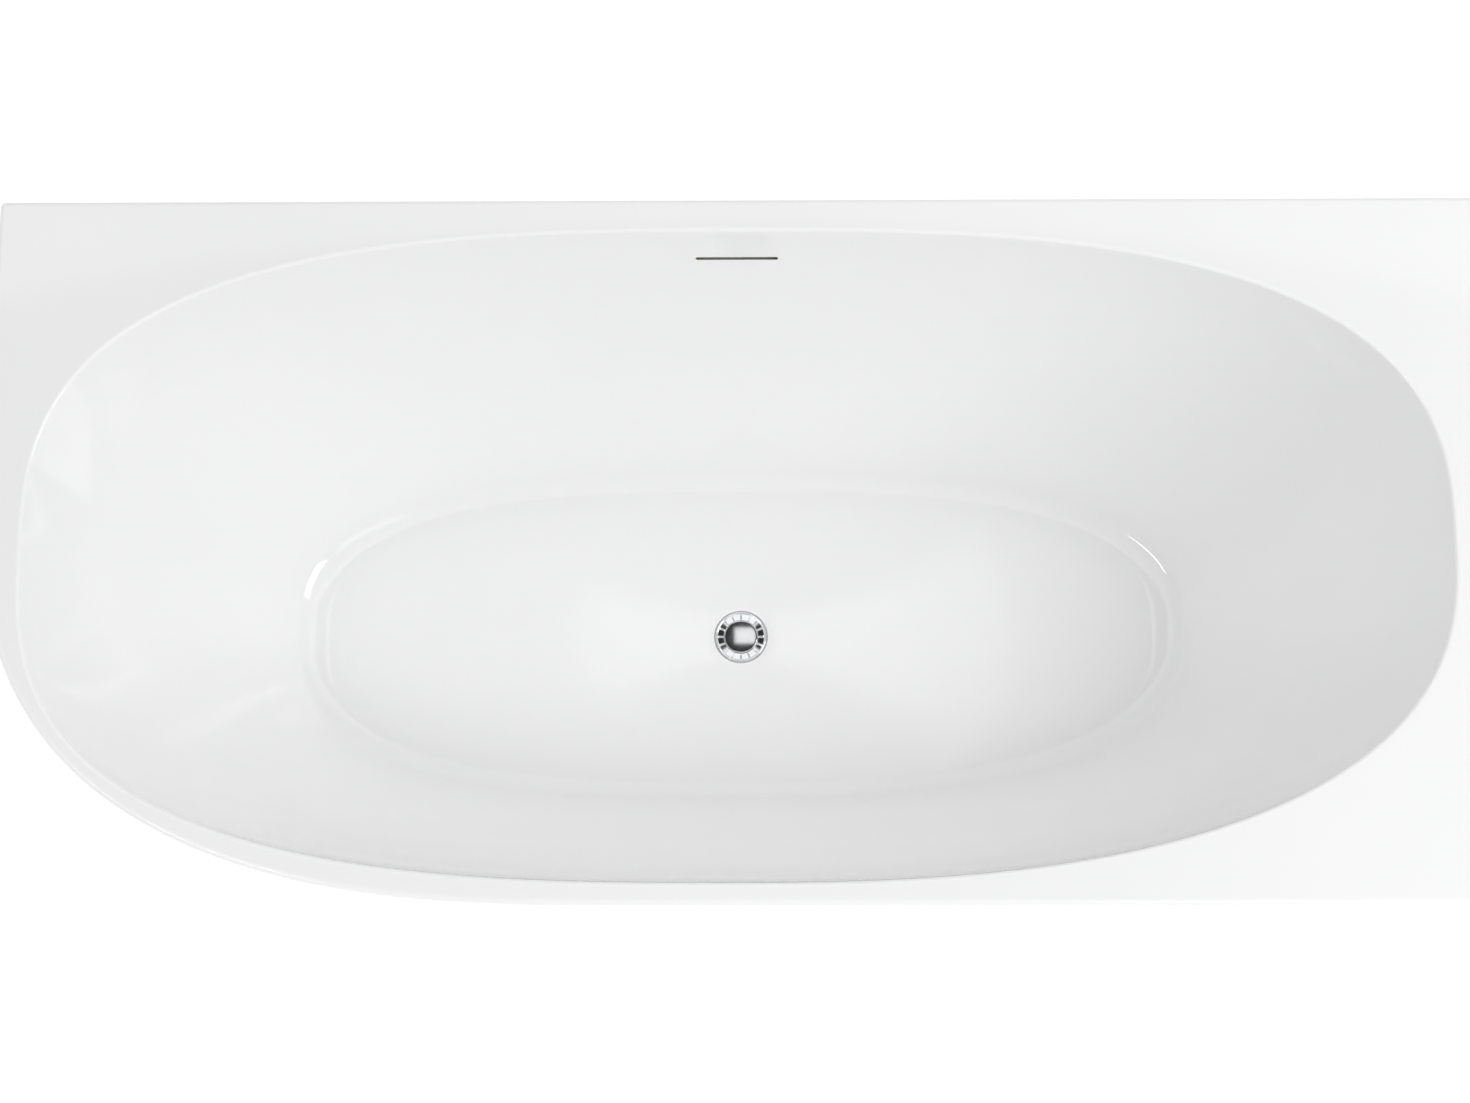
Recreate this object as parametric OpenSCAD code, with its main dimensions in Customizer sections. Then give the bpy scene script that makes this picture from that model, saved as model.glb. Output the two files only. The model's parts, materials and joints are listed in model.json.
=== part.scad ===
// Corner bathtub with an acrylic shell and skirt, a steel cradle on levelling feet,
// a push-button waste with a slot overflow, and a swivelling trap.
// The tub stands with its back and its right end against walls.
// Origin: centre of the outer box, on the floor. +X to the right wall, +Y to the back wall, +Z up.

/* [Tub] */
// Overall length of the rim
tub_length = 1700; // [1400:10:2050]
// Overall width of the rim
tub_width = 800; // [660:10:970]
// Height of the rim above the floor
tub_height = 580; // [480:5:700]
// Depth of the basin from the rim to the edge of the flat floor
basin_depth = 435; // [350:5:470]
// Thickness of the moulded shell
shell_wall = 6; // [4:0.5:8]
// Width of the deck along the back wall
back_deck = 39; // [28:1:60]
// Width of the rim along the front
front_rim = 25; // [20:1:60]
// Width of the rim at the left end
left_rim = 45; // [22:1:80]
// Width of the deck at the right end
right_deck = 81; // [24:1:120]
// How far the round corner runs along the front
corner_length = 684; // [300:4:760]
// How far the round corner runs along the left end
corner_width = 460; // [200:4:500]
// Fullness of the round corner, where 2 is an ellipse
corner_power = 2.58; // [2:0.01:3.5]
// Height of the turned-down lip
lip_height = 25; // [16:1:40]
// Radius of the outer top edge
lip_radius = 6; // [3:0.5:8]

/* [Basin] */
// Fullness of the basin's oval, where 2 is an ellipse
oval_power = 2.85; // [2:0.05:3.5]
// Fullness of the oval's front right quarter
front_right_power = 2.5; // [2:0.05:3.5]
// Radius of the edge between deck and basin
basin_edge_radius = 8; // [4:0.5:10]
// How far each end wall leans in on its way down
end_wall_run = 246; // [150:5:300]
// How far the front and back walls lean in on their way down
side_wall_run = 165; // [100:1:190]
// How much of the lean is in the lower part of the walls
wall_belly = 0.55; // [0:0.05:0.9]
// Height of the fillet round the basin's floor
floor_fillet_height = 14; // [10:1:22]
// Width of the fillet at the ends of the basin's floor
end_fillet_run = 45; // [30:1:60]
// Width of the fillet along the sides of the basin's floor
side_fillet_run = 24; // [18:1:50]
// Fall of the floor from its edge to the waste
floor_fall = 6; // [3:0.5:8]

/* [Skirt] */
// Thickness of the skirt
skirt_wall = 4; // [3:0.5:6]
// How far the skirt leans in from the lip to its foot
skirt_lean = 92; // [60:2:110]
// How much of the lean is in the lower part of the skirt
skirt_belly = 0.4; // [0:0.05:0.8]
// Gap between the skirt and the floor
skirt_gap = 8; // [4:1:12]
// Width of the skirt's bonding flange under the deck
skirt_flange = 9; // [7:0.5:10]

/* [Cradle] */
// Thickness of the reinforcing board under the basin
board_thickness = 16; // [12:1:22]
// Outer width of the square steel tube of the rails
rail_size = 30; // [25:1:35]
// Wall of the steel tube
rail_wall = 2; // [1.5:0.5:3]
// Distance of the outer rails from the ends of the basin's floor
outer_rail_inset = 125; // [90:5:180]
// Distance between the two inner rails
inner_rail_pitch = 280; // [240:10:340]
// Width of the square tube of the back posts
post_size = 25; // [20:1:30]
// Diameter of the threaded studs of the feet
stud_diameter = 12; // [10:1:14]
// Diameter of the foot pads
pad_diameter = 50; // [40:1:60]
// Height of the foot pads
pad_height = 16; // [12:1:20]
// How far a foot screws out from where it stands
foot_travel = 12; // [5:1:13]
// Distance between the two holes of a wall bracket
bracket_hole_pitch = 40; // [30:1:60]
// Diameter of the holes of a wall bracket
bracket_hole = 8; // [5:0.5:9]

/* [Waste] */
// Diameter of the waste's chrome flange
flange_diameter = 62; // [58:1:80]
// Diameter of the push plug
plug_diameter = 40; // [38:0.5:46]
// Number of radial grooves in the flange
flange_grooves = 16; // [8:2:24]
// How far the plug rises when it is pushed open
plug_travel = 9; // [5:0.5:10]
// Outer diameter of the trap's pipes
pipe_diameter = 40; // [36:1:44]
// Wall of the trap's pipes
pipe_wall = 2.5; // [2:0.25:3]
// Diameter of the trap's bowl
trap_diameter = 100; // [90:1:110]

/* [Overflow] */
// Width of the overflow slot
slot_width = 94; // [60:1:120]
// Height of the overflow slot
slot_height = 5.5; // [4:0.5:12]
// Depth of the middle of the slot below the rim
slot_depth = 60; // [56:1:90]
// Outer diameter of the overflow hose
hose_diameter = 28; // [22:1:32]

/* [Hidden] */
$fn = 64;
tiny = 0.01;

// Clearances
fit_gap = 0.05;
slip_gap = 0.4;
bracket_gap = 0.3;
bond_gap = 0.8;

// Places of the basin in the rim
half_length = tub_length / 2;
half_width = tub_width / 2;
basin_half_length = (tub_length - left_rim - right_deck) / 2;
basin_half_width = (tub_width - front_rim - back_deck) / 2;
basin_x = (left_rim - right_deck) / 2;
basin_y = (front_rim - back_deck) / 2;
corner_x = corner_length - half_length;
corner_y = corner_width - half_width;

// Heights
deck_under = tub_height - shell_wall;
wall_top = tub_height - basin_edge_radius;
floor_edge = tub_height - basin_depth;
wall_foot = floor_edge + floor_fillet_height;
floor_low = floor_edge - floor_fall;
shell_under = floor_low - shell_wall;
board_under = shell_under - board_thickness;
rail_under = board_under - rail_size;

// Basin floor
floor_half_length = basin_half_length - end_wall_run;
floor_half_width = basin_half_width - side_wall_run;
flat_half_length = floor_half_length - end_fillet_run;
flat_half_width = floor_half_width - side_fillet_run;
underside_step = shell_wall * 2;
board_margin = 8;

// Waste
flange_radius = flange_diameter / 2;
recess_radius = flange_radius + 1.5;
recess_depth = 3;
tail_wall = 3;
plug_gap = 0.5;
tail_radius = plug_diameter / 2 + plug_gap + tail_wall;
drain_radius = tail_radius + 1;
seat_z = floor_low - recess_depth;
flange_seal_height = 1;
flange_under = seat_z + flange_seal_height;
flange_height = 4;

slot_z = tub_height - slot_depth;

// ---- Outline of the rim ----

function mix(from, to, share) = from + (to - from) * share;
function spread(from, to, steps) = [for (i = [0:steps - 1]) mix(from, to, i / steps)];

// The point of a full oval in the direction of an angle.
function oval_point(half_l, half_w, power, angle) =
  let (reach = pow(pow(abs(cos(angle)), power) + pow(abs(sin(angle)), power), -1 / power))
  [half_l * cos(angle) * reach, half_w * sin(angle) * reach];

// Is a point inside the rim's outline?
function in_corner_zone(x, y) = x < corner_x && y < corner_y;
function corner_measure(x, y) =
  pow(abs((x - corner_x) / corner_length), corner_power) + pow(abs((y - corner_y) / corner_width), corner_power);
function inside_rim(x, y) =
  abs(x) < half_length && abs(y) < half_width && (!in_corner_zone(x, y) || corner_measure(x, y) < 1);

// Reaches the outline from the basin's middle, by halving.
function rim_reach(angle, low, high, tries) =
  let (middle = (low + high) / 2)
  tries == 0 ? middle :
  inside_rim(basin_x + middle * basin_half_length * cos(angle), basin_y + middle * basin_half_width * sin(angle))
    ? rim_reach(angle, middle, high, tries - 1)
    : rim_reach(angle, low, middle, tries - 1);
function rim_point(angle) =
  let (reach = rim_reach(angle, 0.5, 3, 40))
  [basin_x + reach * basin_half_length * cos(angle), basin_y + reach * basin_half_width * sin(angle)];

// Angle, seen from the basin's middle, of a point of the outline.
function angle_of(x, y) =
  let (turn = atan2((y - basin_y) / basin_half_width, (x - basin_x) / basin_half_length))
  turn < -90 ? turn + 360 : turn;
front_right_angle = angle_of(half_length, -half_width);
back_right_angle = angle_of(half_length, half_width);
back_left_angle = angle_of(-half_length, half_width);
corner_start_angle = angle_of(-half_length, corner_y);
corner_end_angle = angle_of(corner_x, -half_width);
ring_angles = concat(
  spread(front_right_angle, back_right_angle, 16),
  spread(back_right_angle, back_left_angle, 22),
  spread(back_left_angle, corner_start_angle, 9),
  spread(corner_start_angle, corner_end_angle, 22),
  spread(corner_end_angle, front_right_angle + 360, 13)
);
ring_size = len(ring_angles);
rim_outline = [for (angle = ring_angles) rim_point(angle)];

// Rings of the shell's surface, each a list of points
function rim_ring(inset, z) = [
  for (p = rim_outline) [p.x * (half_length - inset) / half_length, p.y * (half_width - inset) / half_width, z]
];
function oval_fullness(angle) = cos(angle) > 0 && sin(angle) < 0 ? front_right_power : oval_power;
// A ring round the basin's middle, from its own oval (roundness 0) to an ellipse (roundness 1)
function basin_ring(half_l, half_w, z, roundness = 0) = [
  for (angle = ring_angles)
    let (p = oval_point(half_l, half_w, mix(oval_fullness(angle), 2, roundness), angle))
    [basin_x + p.x, basin_y + p.y, z]
];

// ---- Basin wall ----

// Share of the lean reached at a share of the wall's height, and its slope
function lean_share(share) = (1 - wall_belly) * share + wall_belly * share * share;
function lean_slope(share) = (1 - wall_belly) + 2 * wall_belly * share;
wall_height = wall_top - wall_foot;
function wall_share(z) = (wall_top - z) / wall_height;
function wall_lean_angle(share) =
  atan(lean_slope(share) * (end_wall_run + side_wall_run) / 2 / wall_height);
// Place of the back wall's two faces at the middle of the basin
function back_wall_inner(z) = basin_y + basin_half_width - side_wall_run * lean_share(wall_share(z));
function back_wall_outer(z) =
  let (lean = wall_lean_angle(wall_share(z)), inner = back_wall_inner(z))
  inner + shell_wall / cos(lean);

// Steps of the surface in each stretch
wall_steps = 9;
fillet_steps = 5;
edge_steps = 4;
floor_steps = 4;

function wall_ring(share, skin) =
  let (lean = wall_lean_angle(share))
  basin_ring(
    basin_half_length - end_wall_run * lean_share(share) + skin * cos(lean),
    basin_half_width - side_wall_run * lean_share(share) + skin * cos(lean),
    mix(wall_top, wall_foot, share) - skin * sin(lean)
  );
// The fillet is a quadratic curve from the wall's slope to the flat floor.
function bend(from, middle, to, share) =
  from * pow(1 - share, 2) + 2 * middle * share * (1 - share) + to * pow(share, 2);
end_slope_run = floor_fillet_height * lean_slope(1) * end_wall_run / wall_height;
side_slope_run = floor_fillet_height * lean_slope(1) * side_wall_run / wall_height;
function fillet_ring(share, skin) =
  let (lean = mix(wall_lean_angle(1), 90, share))
  basin_ring(
    bend(floor_half_length, floor_half_length - end_slope_run, flat_half_length, share) + skin * cos(lean),
    bend(floor_half_width, floor_half_width - side_slope_run, flat_half_width, share) + skin * cos(lean),
    bend(wall_foot, floor_edge, floor_edge, share) - skin * sin(lean)
  );
function floor_ring(share) = basin_ring(
  mix(flat_half_length, recess_radius, share), mix(flat_half_width, recess_radius, share),
  mix(floor_edge, floor_low, share), share
);
function underside_ring(share) = basin_ring(
  mix(flat_half_length - underside_step, drain_radius, share),
  mix(flat_half_width - underside_step, drain_radius, share), shell_under, share
);
function lip_ring(turn) = rim_ring(lip_radius * (1 - cos(turn)), tub_height - lip_radius * (1 - sin(turn)));
function basin_edge_ring(turn) = basin_ring(
  basin_half_length + basin_edge_radius * (1 - sin(turn)),
  basin_half_width + basin_edge_radius * (1 - sin(turn)),
  tub_height - basin_edge_radius * (1 - cos(turn))
);
function round_ring(radius, z) = basin_ring(radius, radius, z, 1);

// From the drain's lower edge out under the shell, over the rim and back down to the drain
shell_rings = concat(
  [for (i = [2:-1:0]) underside_ring(i / 2)],
  [for (i = [fillet_steps:-1:0]) fillet_ring(i / fillet_steps, shell_wall)],
  [for (i = [wall_steps - 1:-1:1]) wall_ring(i / wall_steps, shell_wall)],
  [basin_ring(basin_half_length + shell_wall, basin_half_width + shell_wall, deck_under)],
  [rim_ring(shell_wall, deck_under), rim_ring(shell_wall, tub_height - lip_height)],
  [rim_ring(0, tub_height - lip_height)],
  [for (i = [0:edge_steps]) lip_ring(90 * i / edge_steps)],
  [for (i = [0:edge_steps]) basin_edge_ring(90 * i / edge_steps)],
  [for (i = [1:wall_steps]) wall_ring(i / wall_steps, 0)],
  [for (i = [1:fillet_steps]) fillet_ring(i / fillet_steps, 0)],
  [for (i = [1:floor_steps]) floor_ring(i / floor_steps)],
  [round_ring(recess_radius, seat_z), round_ring(drain_radius, seat_z)]
);

// Two triangles for each cell of a grid of rings that closes both ways
function loop_faces(rows, columns) = [
  for (row = [0:rows - 1], column = [0:columns - 1])
    let (
      up = (row + 1) % rows, on = (column + 1) % columns,
      a = row * columns + column, b = up * columns + column, c = up * columns + on, d = row * columns + on
    )
    each [[a, b, c], [a, c, d]]
];

// Two triangles for each cell of a strip of closed sections, and a fan at each end
function strip_faces(rows, columns) = concat(
  [for (row = [0:rows - 2], column = [0:columns - 1])
    let (on = (column + 1) % columns, a = row * columns + column, b = a + columns, c = (row + 1) * columns + on,
      d = row * columns + on)
    each [[a, b, c], [a, c, d]]],
  [[for (column = [0:columns - 1]) column]],
  [[for (column = [columns - 1:-1:0]) (rows - 1) * columns + column]]
);

// Joins a list of lists into one list.
function flatten(lists) = [for (l = lists) each l];

module slot_shape(width, height, length) {
  rotate([90, 0, 0])
    linear_extrude(length, center = true)
      union() {
        square([width - height, height], center = true);
        for (side = [-1, 1]) translate([side * (width - height) / 2, 0]) circle(d = height);
      }
}

module tub_shell() {
  color("white")
    difference() {
      polyhedron(points = flatten(shell_rings), faces = loop_faces(len(shell_rings), ring_size), convexity = 8);
      translate([basin_x, back_wall_inner(slot_z), slot_z]) slot_shape(slot_width, slot_height, 60);
    }
}

// ---- Skirt ----

skirt_top = deck_under;
skirt_tuck = shell_wall + bond_gap;
lip_bottom = tub_height - lip_height;
skirt_height = lip_bottom - skirt_gap;
skirt_sections = 10;
flange_gap = 0.8;
function skirt_share(z) = max(0, (lip_bottom - z) / skirt_height);
// Distance of the skirt's face from the rim's outline, and of its back
function skirt_inset(z) =
  let (share = skirt_share(z))
  skirt_tuck + skirt_lean * ((1 - skirt_belly) * share + skirt_belly * share * share);

// The skirt's path: down the left end, round the corner and along the front.
function corner_point(inset, angle) =
  let (p = oval_point(corner_length - inset, corner_width - inset, corner_power, angle))
  [corner_x + p.x, corner_y + p.y];
skirt_stations = concat(
  [for (i = [0:4]) ["left", i / 5]],
  [for (i = [0:24]) ["corner", i / 24]],
  [for (i = [1:6]) ["front", i / 6]]
);
function skirt_point(station, inset, z) =
  let (
    p = station[0] == "left" ? [inset - half_length, mix(half_width - skirt_tuck, corner_y, station[1])] :
      station[0] == "corner" ? corner_point(inset, 180 + 90 * station[1]) :
      [mix(corner_x, half_length - skirt_tuck, station[1]), inset - half_width]
  )
  [p.x, p.y, z];
function skirt_level(i) = mix(lip_bottom, skirt_gap, i / skirt_sections);

// Distance from a point to the outside of the basin's wall under the deck
function basin_room(x, y) =
  let (
    half_l = basin_half_length + shell_wall, half_w = basin_half_width + shell_wall,
    across = abs(x - basin_x) / half_l, along = abs(y - basin_y) / half_w,
    measure = pow(pow(across, oval_power) + pow(along, oval_power), 1 / oval_power)
  )
  (measure - 1) / norm([
    pow(across / measure, oval_power - 1) / half_l, pow(along / measure, oval_power - 1) / half_w
  ]);
// The bonding flange narrows where the basin comes close to the skirt.
function flange_width(station) =
  let (p = skirt_point(station, skirt_tuck, skirt_top))
  max(skirt_wall + 0.5, min(skirt_flange, 0.92 * basin_room(p.x, p.y) - flange_gap));
function skirt_section(station) = concat(
  [skirt_point(station, skirt_tuck, skirt_top)],
  [for (i = [0:skirt_sections]) skirt_point(station, skirt_inset(skirt_level(i)), skirt_level(i))],
  [for (i = [skirt_sections:-1:0]) skirt_point(station, skirt_inset(skirt_level(i)) + skirt_wall, skirt_level(i))],
  [
    skirt_point(station, skirt_tuck + skirt_wall, skirt_top - skirt_wall),
    skirt_point(station, skirt_tuck + flange_width(station), skirt_top - skirt_wall),
    skirt_point(station, skirt_tuck + flange_width(station), skirt_top)
  ]
);

module skirt() {
  sections = [for (station = skirt_stations) skirt_section(station)];
  color("white")
    polyhedron(points = flatten(sections), faces = strip_faces(len(sections), len(sections[0])), convexity = 6);
}

// ---- Board and cradle ----

board_half_length = flat_half_length - underside_step - board_margin;
board_half_width = flat_half_width - underside_step - board_margin;
board_hole_radius = drain_radius + 32;

// A closed outline of points along a full oval
module oval_outline(half_l, half_w, power, steps = 60) {
  polygon([for (i = [0:steps - 1]) oval_point(half_l, half_w, power, 360 * i / steps)]);
}

module base_board() {
  color("tan")
    translate([basin_x, basin_y, board_under])
      difference() {
        linear_extrude(board_thickness) oval_outline(board_half_length, board_half_width, oval_power);
        translate([0, 0, -1]) cylinder(r = board_hole_radius, h = board_thickness + 2);
        for (x = rail_places, side = [-1, 1])
          translate([x - basin_x, side * rail_screw_y, -1]) cylinder(r = screw_radius, h = board_thickness - 2);
      }
}

cap_flange = 2;
cap_depth = 10;
outer_rail_x = floor_half_length - outer_rail_inset;
inner_rail_x = inner_rail_pitch / 2;
front_rail_end = basin_y - floor_half_width - 45;
post_clear = 8;
wall_plate = 3;
post_y = half_width - wall_plate - post_size / 2 - post_clear;
back_rail_end = post_y + post_size / 2 - cap_flange;
inner_rail_end = basin_y + floor_half_width - 5;
stud_radius = stud_diameter / 2;
stud_hole_radius = stud_radius + slip_gap;
front_foot_y = front_rail_end + rail_size / 2 + 5;
back_foot_y = post_y - post_size / 2 - rail_size / 2 - 6;

// Places of the rails along the tub, and of the feet
outer_left_x = basin_x - outer_rail_x;
outer_right_x = basin_x + outer_rail_x;
inner_left_x = basin_x - inner_rail_x;
inner_right_x = basin_x + inner_rail_x;
rail_places = [outer_left_x, inner_left_x, inner_right_x, outer_right_x];
feet = [
  [outer_left_x, front_foot_y], [outer_left_x, back_foot_y],
  [inner_left_x, basin_y], [inner_right_x, basin_y],
  [outer_right_x, front_foot_y], [outer_right_x, back_foot_y]
];

// A square tube from one Y to another, its middle at x, with holes in its lower wall for the feet
module rail(x, from_y, to_y, foot_places) {
  color("dimgray")
    difference() {
      translate([x - rail_size / 2, from_y, rail_under]) cube([rail_size, to_y - from_y, rail_size]);
      translate([x - rail_size / 2 + rail_wall, from_y - 1, rail_under + rail_wall])
        cube([rail_size - 2 * rail_wall, to_y - from_y + 2, rail_size - 2 * rail_wall]);
      for (foot_y = foot_places)
        translate([x, foot_y, rail_under - 1]) cylinder(r = stud_hole_radius, h = rail_wall + 2);
      for (side = [-1, 1])
        translate([x, basin_y + side * rail_screw_y, board_under - rail_wall - 1])
          cylinder(r = screw_radius + slip_gap, h = rail_wall + 2);
    }
}
module left_rail() rail(outer_left_x, front_rail_end, back_rail_end, [front_foot_y, back_foot_y]);
module inner_left_rail() rail(inner_left_x, front_rail_end, inner_rail_end, [basin_y]);
module inner_right_rail() rail(inner_right_x, front_rail_end, inner_rail_end, [basin_y]);
module right_rail() rail(outer_right_x, front_rail_end, back_rail_end, [front_foot_y, back_foot_y]);

block_height = 18;
block_length = 110;
block_width = 30;
block_under = deck_under - block_height;
post_plate = 3;

// Wooden blocks bonded under the deck for the posts to screw into
module deck_blocks() {
  color("burlywood")
    for (x = [outer_left_x, outer_right_x])
      difference() {
        translate([x - block_length / 2, half_width - shell_wall - block_width - bond_gap, block_under])
          cube([block_length, block_width, block_height]);
        for (side = [-1, 1])
          translate([x + side * post_screw_x, post_y, block_under - 1])
            cylinder(r = screw_radius, h = block_height - 2);
      }
}

// A square tube standing on the back end of a rail, with a flat plate on top
module post(x) {
  plate_length = post_size + 44;
  post_inner = post_size - 2 * rail_wall;
  post_height = block_under - board_under;
  color("dimgray")
    translate([x, post_y, board_under])
      difference() {
        union() {
          translate([-post_size / 2, -post_size / 2, 0]) cube([post_size, post_size, post_height]);
          translate([-plate_length / 2, -post_size / 2, post_height - post_plate])
            cube([plate_length, post_size, post_plate]);
        }
        translate([-post_inner / 2, -post_inner / 2, -1]) cube([post_inner, post_inner, post_height - post_plate + 1]);
        for (side = [-1, 1])
          translate([side * post_screw_x, 0, post_height - post_plate - 1])
            cylinder(r = screw_radius + slip_gap, h = post_plate + 2);
      }
}
post_screw_x = post_size / 2 + 11;
module left_post() post(outer_left_x);
module right_post() post(outer_right_x);

// Wall brackets: a plate against the wall and a web back to the post
bracket_width = bracket_hole_pitch + 24;
bracket_height = 46;
bracket_z = block_under - 90;
module wall_bracket(x) {
  plate_y = half_width - wall_plate;
  color("silver") {
    difference() {
      translate([x - bracket_width / 2, plate_y, bracket_z]) cube([bracket_width, wall_plate, bracket_height]);
      for (side = [-1, 1])
        translate([x + side * bracket_hole_pitch / 2, plate_y - 1, bracket_z + bracket_height / 2])
          rotate([-90, 0, 0]) cylinder(d = bracket_hole, h = wall_plate + 2);
    }
    for (side = [-1, 1])
      translate([x + side * (post_size / 2 - 2) - 2, post_y + post_size / 2, bracket_z])
        cube([4, plate_y - post_y - post_size / 2, bracket_height]);
  }
}
module left_wall_bracket() wall_bracket(outer_left_x);
module right_wall_bracket() wall_bracket(outer_right_x);

// Skirt brackets: a foot on the rail's end and a leaning face bonded to the skirt's back
skirt_bracket_width = 50;
skirt_bracket_bottom = rail_under;
skirt_bracket_top = board_under;
function skirt_back_y(z) = skirt_inset(z) + skirt_wall - half_width + bracket_gap;
module skirt_brackets() {
  flat = 3;
  color("silver")
    for (x = [inner_left_x, inner_right_x, outer_right_x])
      translate([x - skirt_bracket_width / 2, 0, 0])
        rotate([90, 0, 90])
          linear_extrude(skirt_bracket_width)
            polygon([
              [skirt_back_y(skirt_bracket_bottom), skirt_bracket_bottom],
              [skirt_back_y(skirt_bracket_bottom) + flat, skirt_bracket_bottom],
              [skirt_back_y(skirt_bracket_top - flat) + flat, skirt_bracket_top - flat],
              [front_rail_end - flat, skirt_bracket_top - flat],
              [front_rail_end - flat, skirt_bracket_bottom],
              [front_rail_end, skirt_bracket_bottom],
              [front_rail_end, skirt_bracket_top],
              [skirt_back_y(skirt_bracket_top), skirt_bracket_top]
            ]);
}

// ---- Screws ----

screw_radius = 2.5;
screw_head_radius = 5;
screw_head_height = 3;
module screw(length) {
  cylinder(r = screw_radius, h = length);
  translate([0, 0, -screw_head_height]) cylinder(r = screw_head_radius, h = screw_head_height);
}
// Each rail is held to the board by two screws through its upper wall.
rail_screw_y = board_half_width * 0.5;
module rail_screws() {
  color("silver")
    for (x = rail_places, side = [-1, 1])
      translate([x, basin_y + side * rail_screw_y, board_under - rail_wall]) screw(rail_wall + board_thickness - 3);
}
// Plastic plugs in the open ends of the rails
rail_ends = [
  [outer_left_x, front_rail_end, 1], [outer_left_x, back_rail_end, -1],
  [inner_left_x, inner_rail_end, -1], [inner_right_x, inner_rail_end, -1],
  [outer_right_x, back_rail_end, -1]
];
module rail_caps() {
  inner = rail_size - 2 * rail_wall;
  color("black")
    for (end = rail_ends)
      translate([end.x, end.y, rail_under + rail_size / 2])
        rotate([end.z * -90, 0, 0]) {
          translate([-inner / 2, -inner / 2, 0]) cube([inner, inner, cap_depth]);
          translate([-rail_size / 2, -rail_size / 2, -cap_flange]) cube([rail_size, rail_size, cap_flange]);
        }
}
module post_screws() {
  color("silver")
    for (x = [outer_left_x, outer_right_x], side = [-1, 1])
      translate([x + side * post_screw_x, post_y, block_under - post_plate]) screw(post_plate + block_height - 3);
}

// ---- Levelling feet ----

nut_height = 10;
nut_radius = stud_radius * 1.75;
thread_left = 5;
stud_top = rail_under + rail_wall + foot_travel + thread_left;
stud_foot_z = 6;
module nut(z) {
  difference() {
    translate([0, 0, z]) cylinder(r = nut_radius, h = nut_height, $fn = 6);
    translate([0, 0, z - 1]) cylinder(r = stud_radius + fit_gap, h = nut_height + 2);
  }
}
module weld_nuts() {
  color("silver") for (p = feet) translate([p.x, p.y, 0]) nut(rail_under + rail_wall);
}
module lock_nuts() {
  color("silver") for (p = feet) translate([p.x, p.y, 0]) nut(rail_under - nut_height);
}
// A threaded stud with a hexagonal collar that stands in its pad
module stud(place) {
  color("silver")
    translate([place.x, place.y, 0]) {
      translate([0, 0, stud_foot_z]) cylinder(r = stud_radius, h = stud_top - stud_foot_z);
      translate([0, 0, pad_height]) cylinder(r = stud_radius * 1.6, h = 5, $fn = 6);
    }
}
module pad(place) {
  color("black")
    translate([place.x, place.y, 0])
      rotate_extrude()
        polygon([
          [0, 0], [pad_diameter / 2 - 2, 0], [pad_diameter / 2, 2], [pad_diameter / 2, 5],
          [stud_radius * 2, pad_height - 3], [stud_radius * 2, pad_height],
          [stud_radius, pad_height], [stud_radius, stud_foot_z], [0, stud_foot_z]
        ]);
}
module front_left_stud() stud(feet[0]);
module front_left_pad() pad(feet[0]);
module back_left_stud() stud(feet[1]);
module back_left_pad() pad(feet[1]);
module middle_left_stud() stud(feet[2]);
module middle_left_pad() pad(feet[2]);
module middle_right_stud() stud(feet[3]);
module middle_right_pad() pad(feet[3]);
module front_right_stud() stud(feet[4]);
module front_right_pad() pad(feet[4]);
module back_right_stud() stud(feet[5]);
module back_right_pad() pad(feet[5]);

// ---- Waste ----

module at_drain() translate([basin_x, basin_y, 0]) children();

plug_radius = plug_diameter / 2;
tail_bottom = shell_under - 22;
flange_top = flange_under + flange_height;
bead = 1.2;
groove_inner = plug_radius + 1.8;
groove_outer = flange_radius - 3;
groove_width = 1.4;
groove_bottom = flange_top - bead - 1.9;
seal_height = 3;
body_flange_top = shell_under - seal_height;
body_flange_height = 5;
body_flange_radius = drain_radius + 16;
cup_wall = 3;
cup_radius = tail_radius + cup_wall;
cup_bottom = rail_under + 3;
pipe_radius = pipe_diameter / 2;
pipe_inner = pipe_radius - pipe_wall;
trap_bottom = 16;
trap_top = cup_bottom - 26;
trap_radius = trap_diameter / 2;
dip_bottom = trap_bottom + 18;
side_inlet_z = rail_under + rail_size / 2 - 2;
hose_radius = hose_diameter / 2;
hose_wall = 2.5;
spigot_radius = hose_radius - hose_wall;
spigot_inner = spigot_radius - 2;
inlet_length = 38;

// Chrome flange: a rounded outer bead, a shallow dished ring with radial grooves, and a tail
module waste_flange() {
  color("silver")
    at_drain()
      difference() {
        rotate_extrude()
          polygon(concat(
            [[tail_radius, flange_under], [flange_radius, flange_under]],
            [for (a = [0:30:180])
              [flange_radius - bead + bead * cos(a), flange_top - bead + bead * sin(a)]],
            [
              [flange_radius - 2 * bead - 0.3, flange_top - bead - 0.3],
              [tail_inner_radius + 0.6, flange_top - bead - 1],
              [tail_inner_radius, flange_top - bead - 1.4],
              [tail_inner_radius, tail_bottom],
              [tail_radius, tail_bottom]
            ]
          ));
        for (i = [0:flange_grooves - 1])
          rotate([0, 0, 360 * i / flange_grooves])
            translate([groove_inner, -groove_width / 2, groove_bottom])
              cube([groove_outer - groove_inner, groove_width, 3]);
      }
}
module ring(outer, inner, z, height) {
  translate([0, 0, z])
    difference() {
      cylinder(r = outer, h = height);
      translate([0, 0, -1]) cylinder(r = inner, h = height + 2);
    }
}
module flange_seal() {
  color("black") at_drain() ring(flange_radius - 1, tail_radius + 0.3, seat_z, flange_seal_height);
}
module body_seal() {
  color("black") at_drain() ring(body_flange_radius, drain_radius + 1, body_flange_top, seal_height);
}
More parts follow.
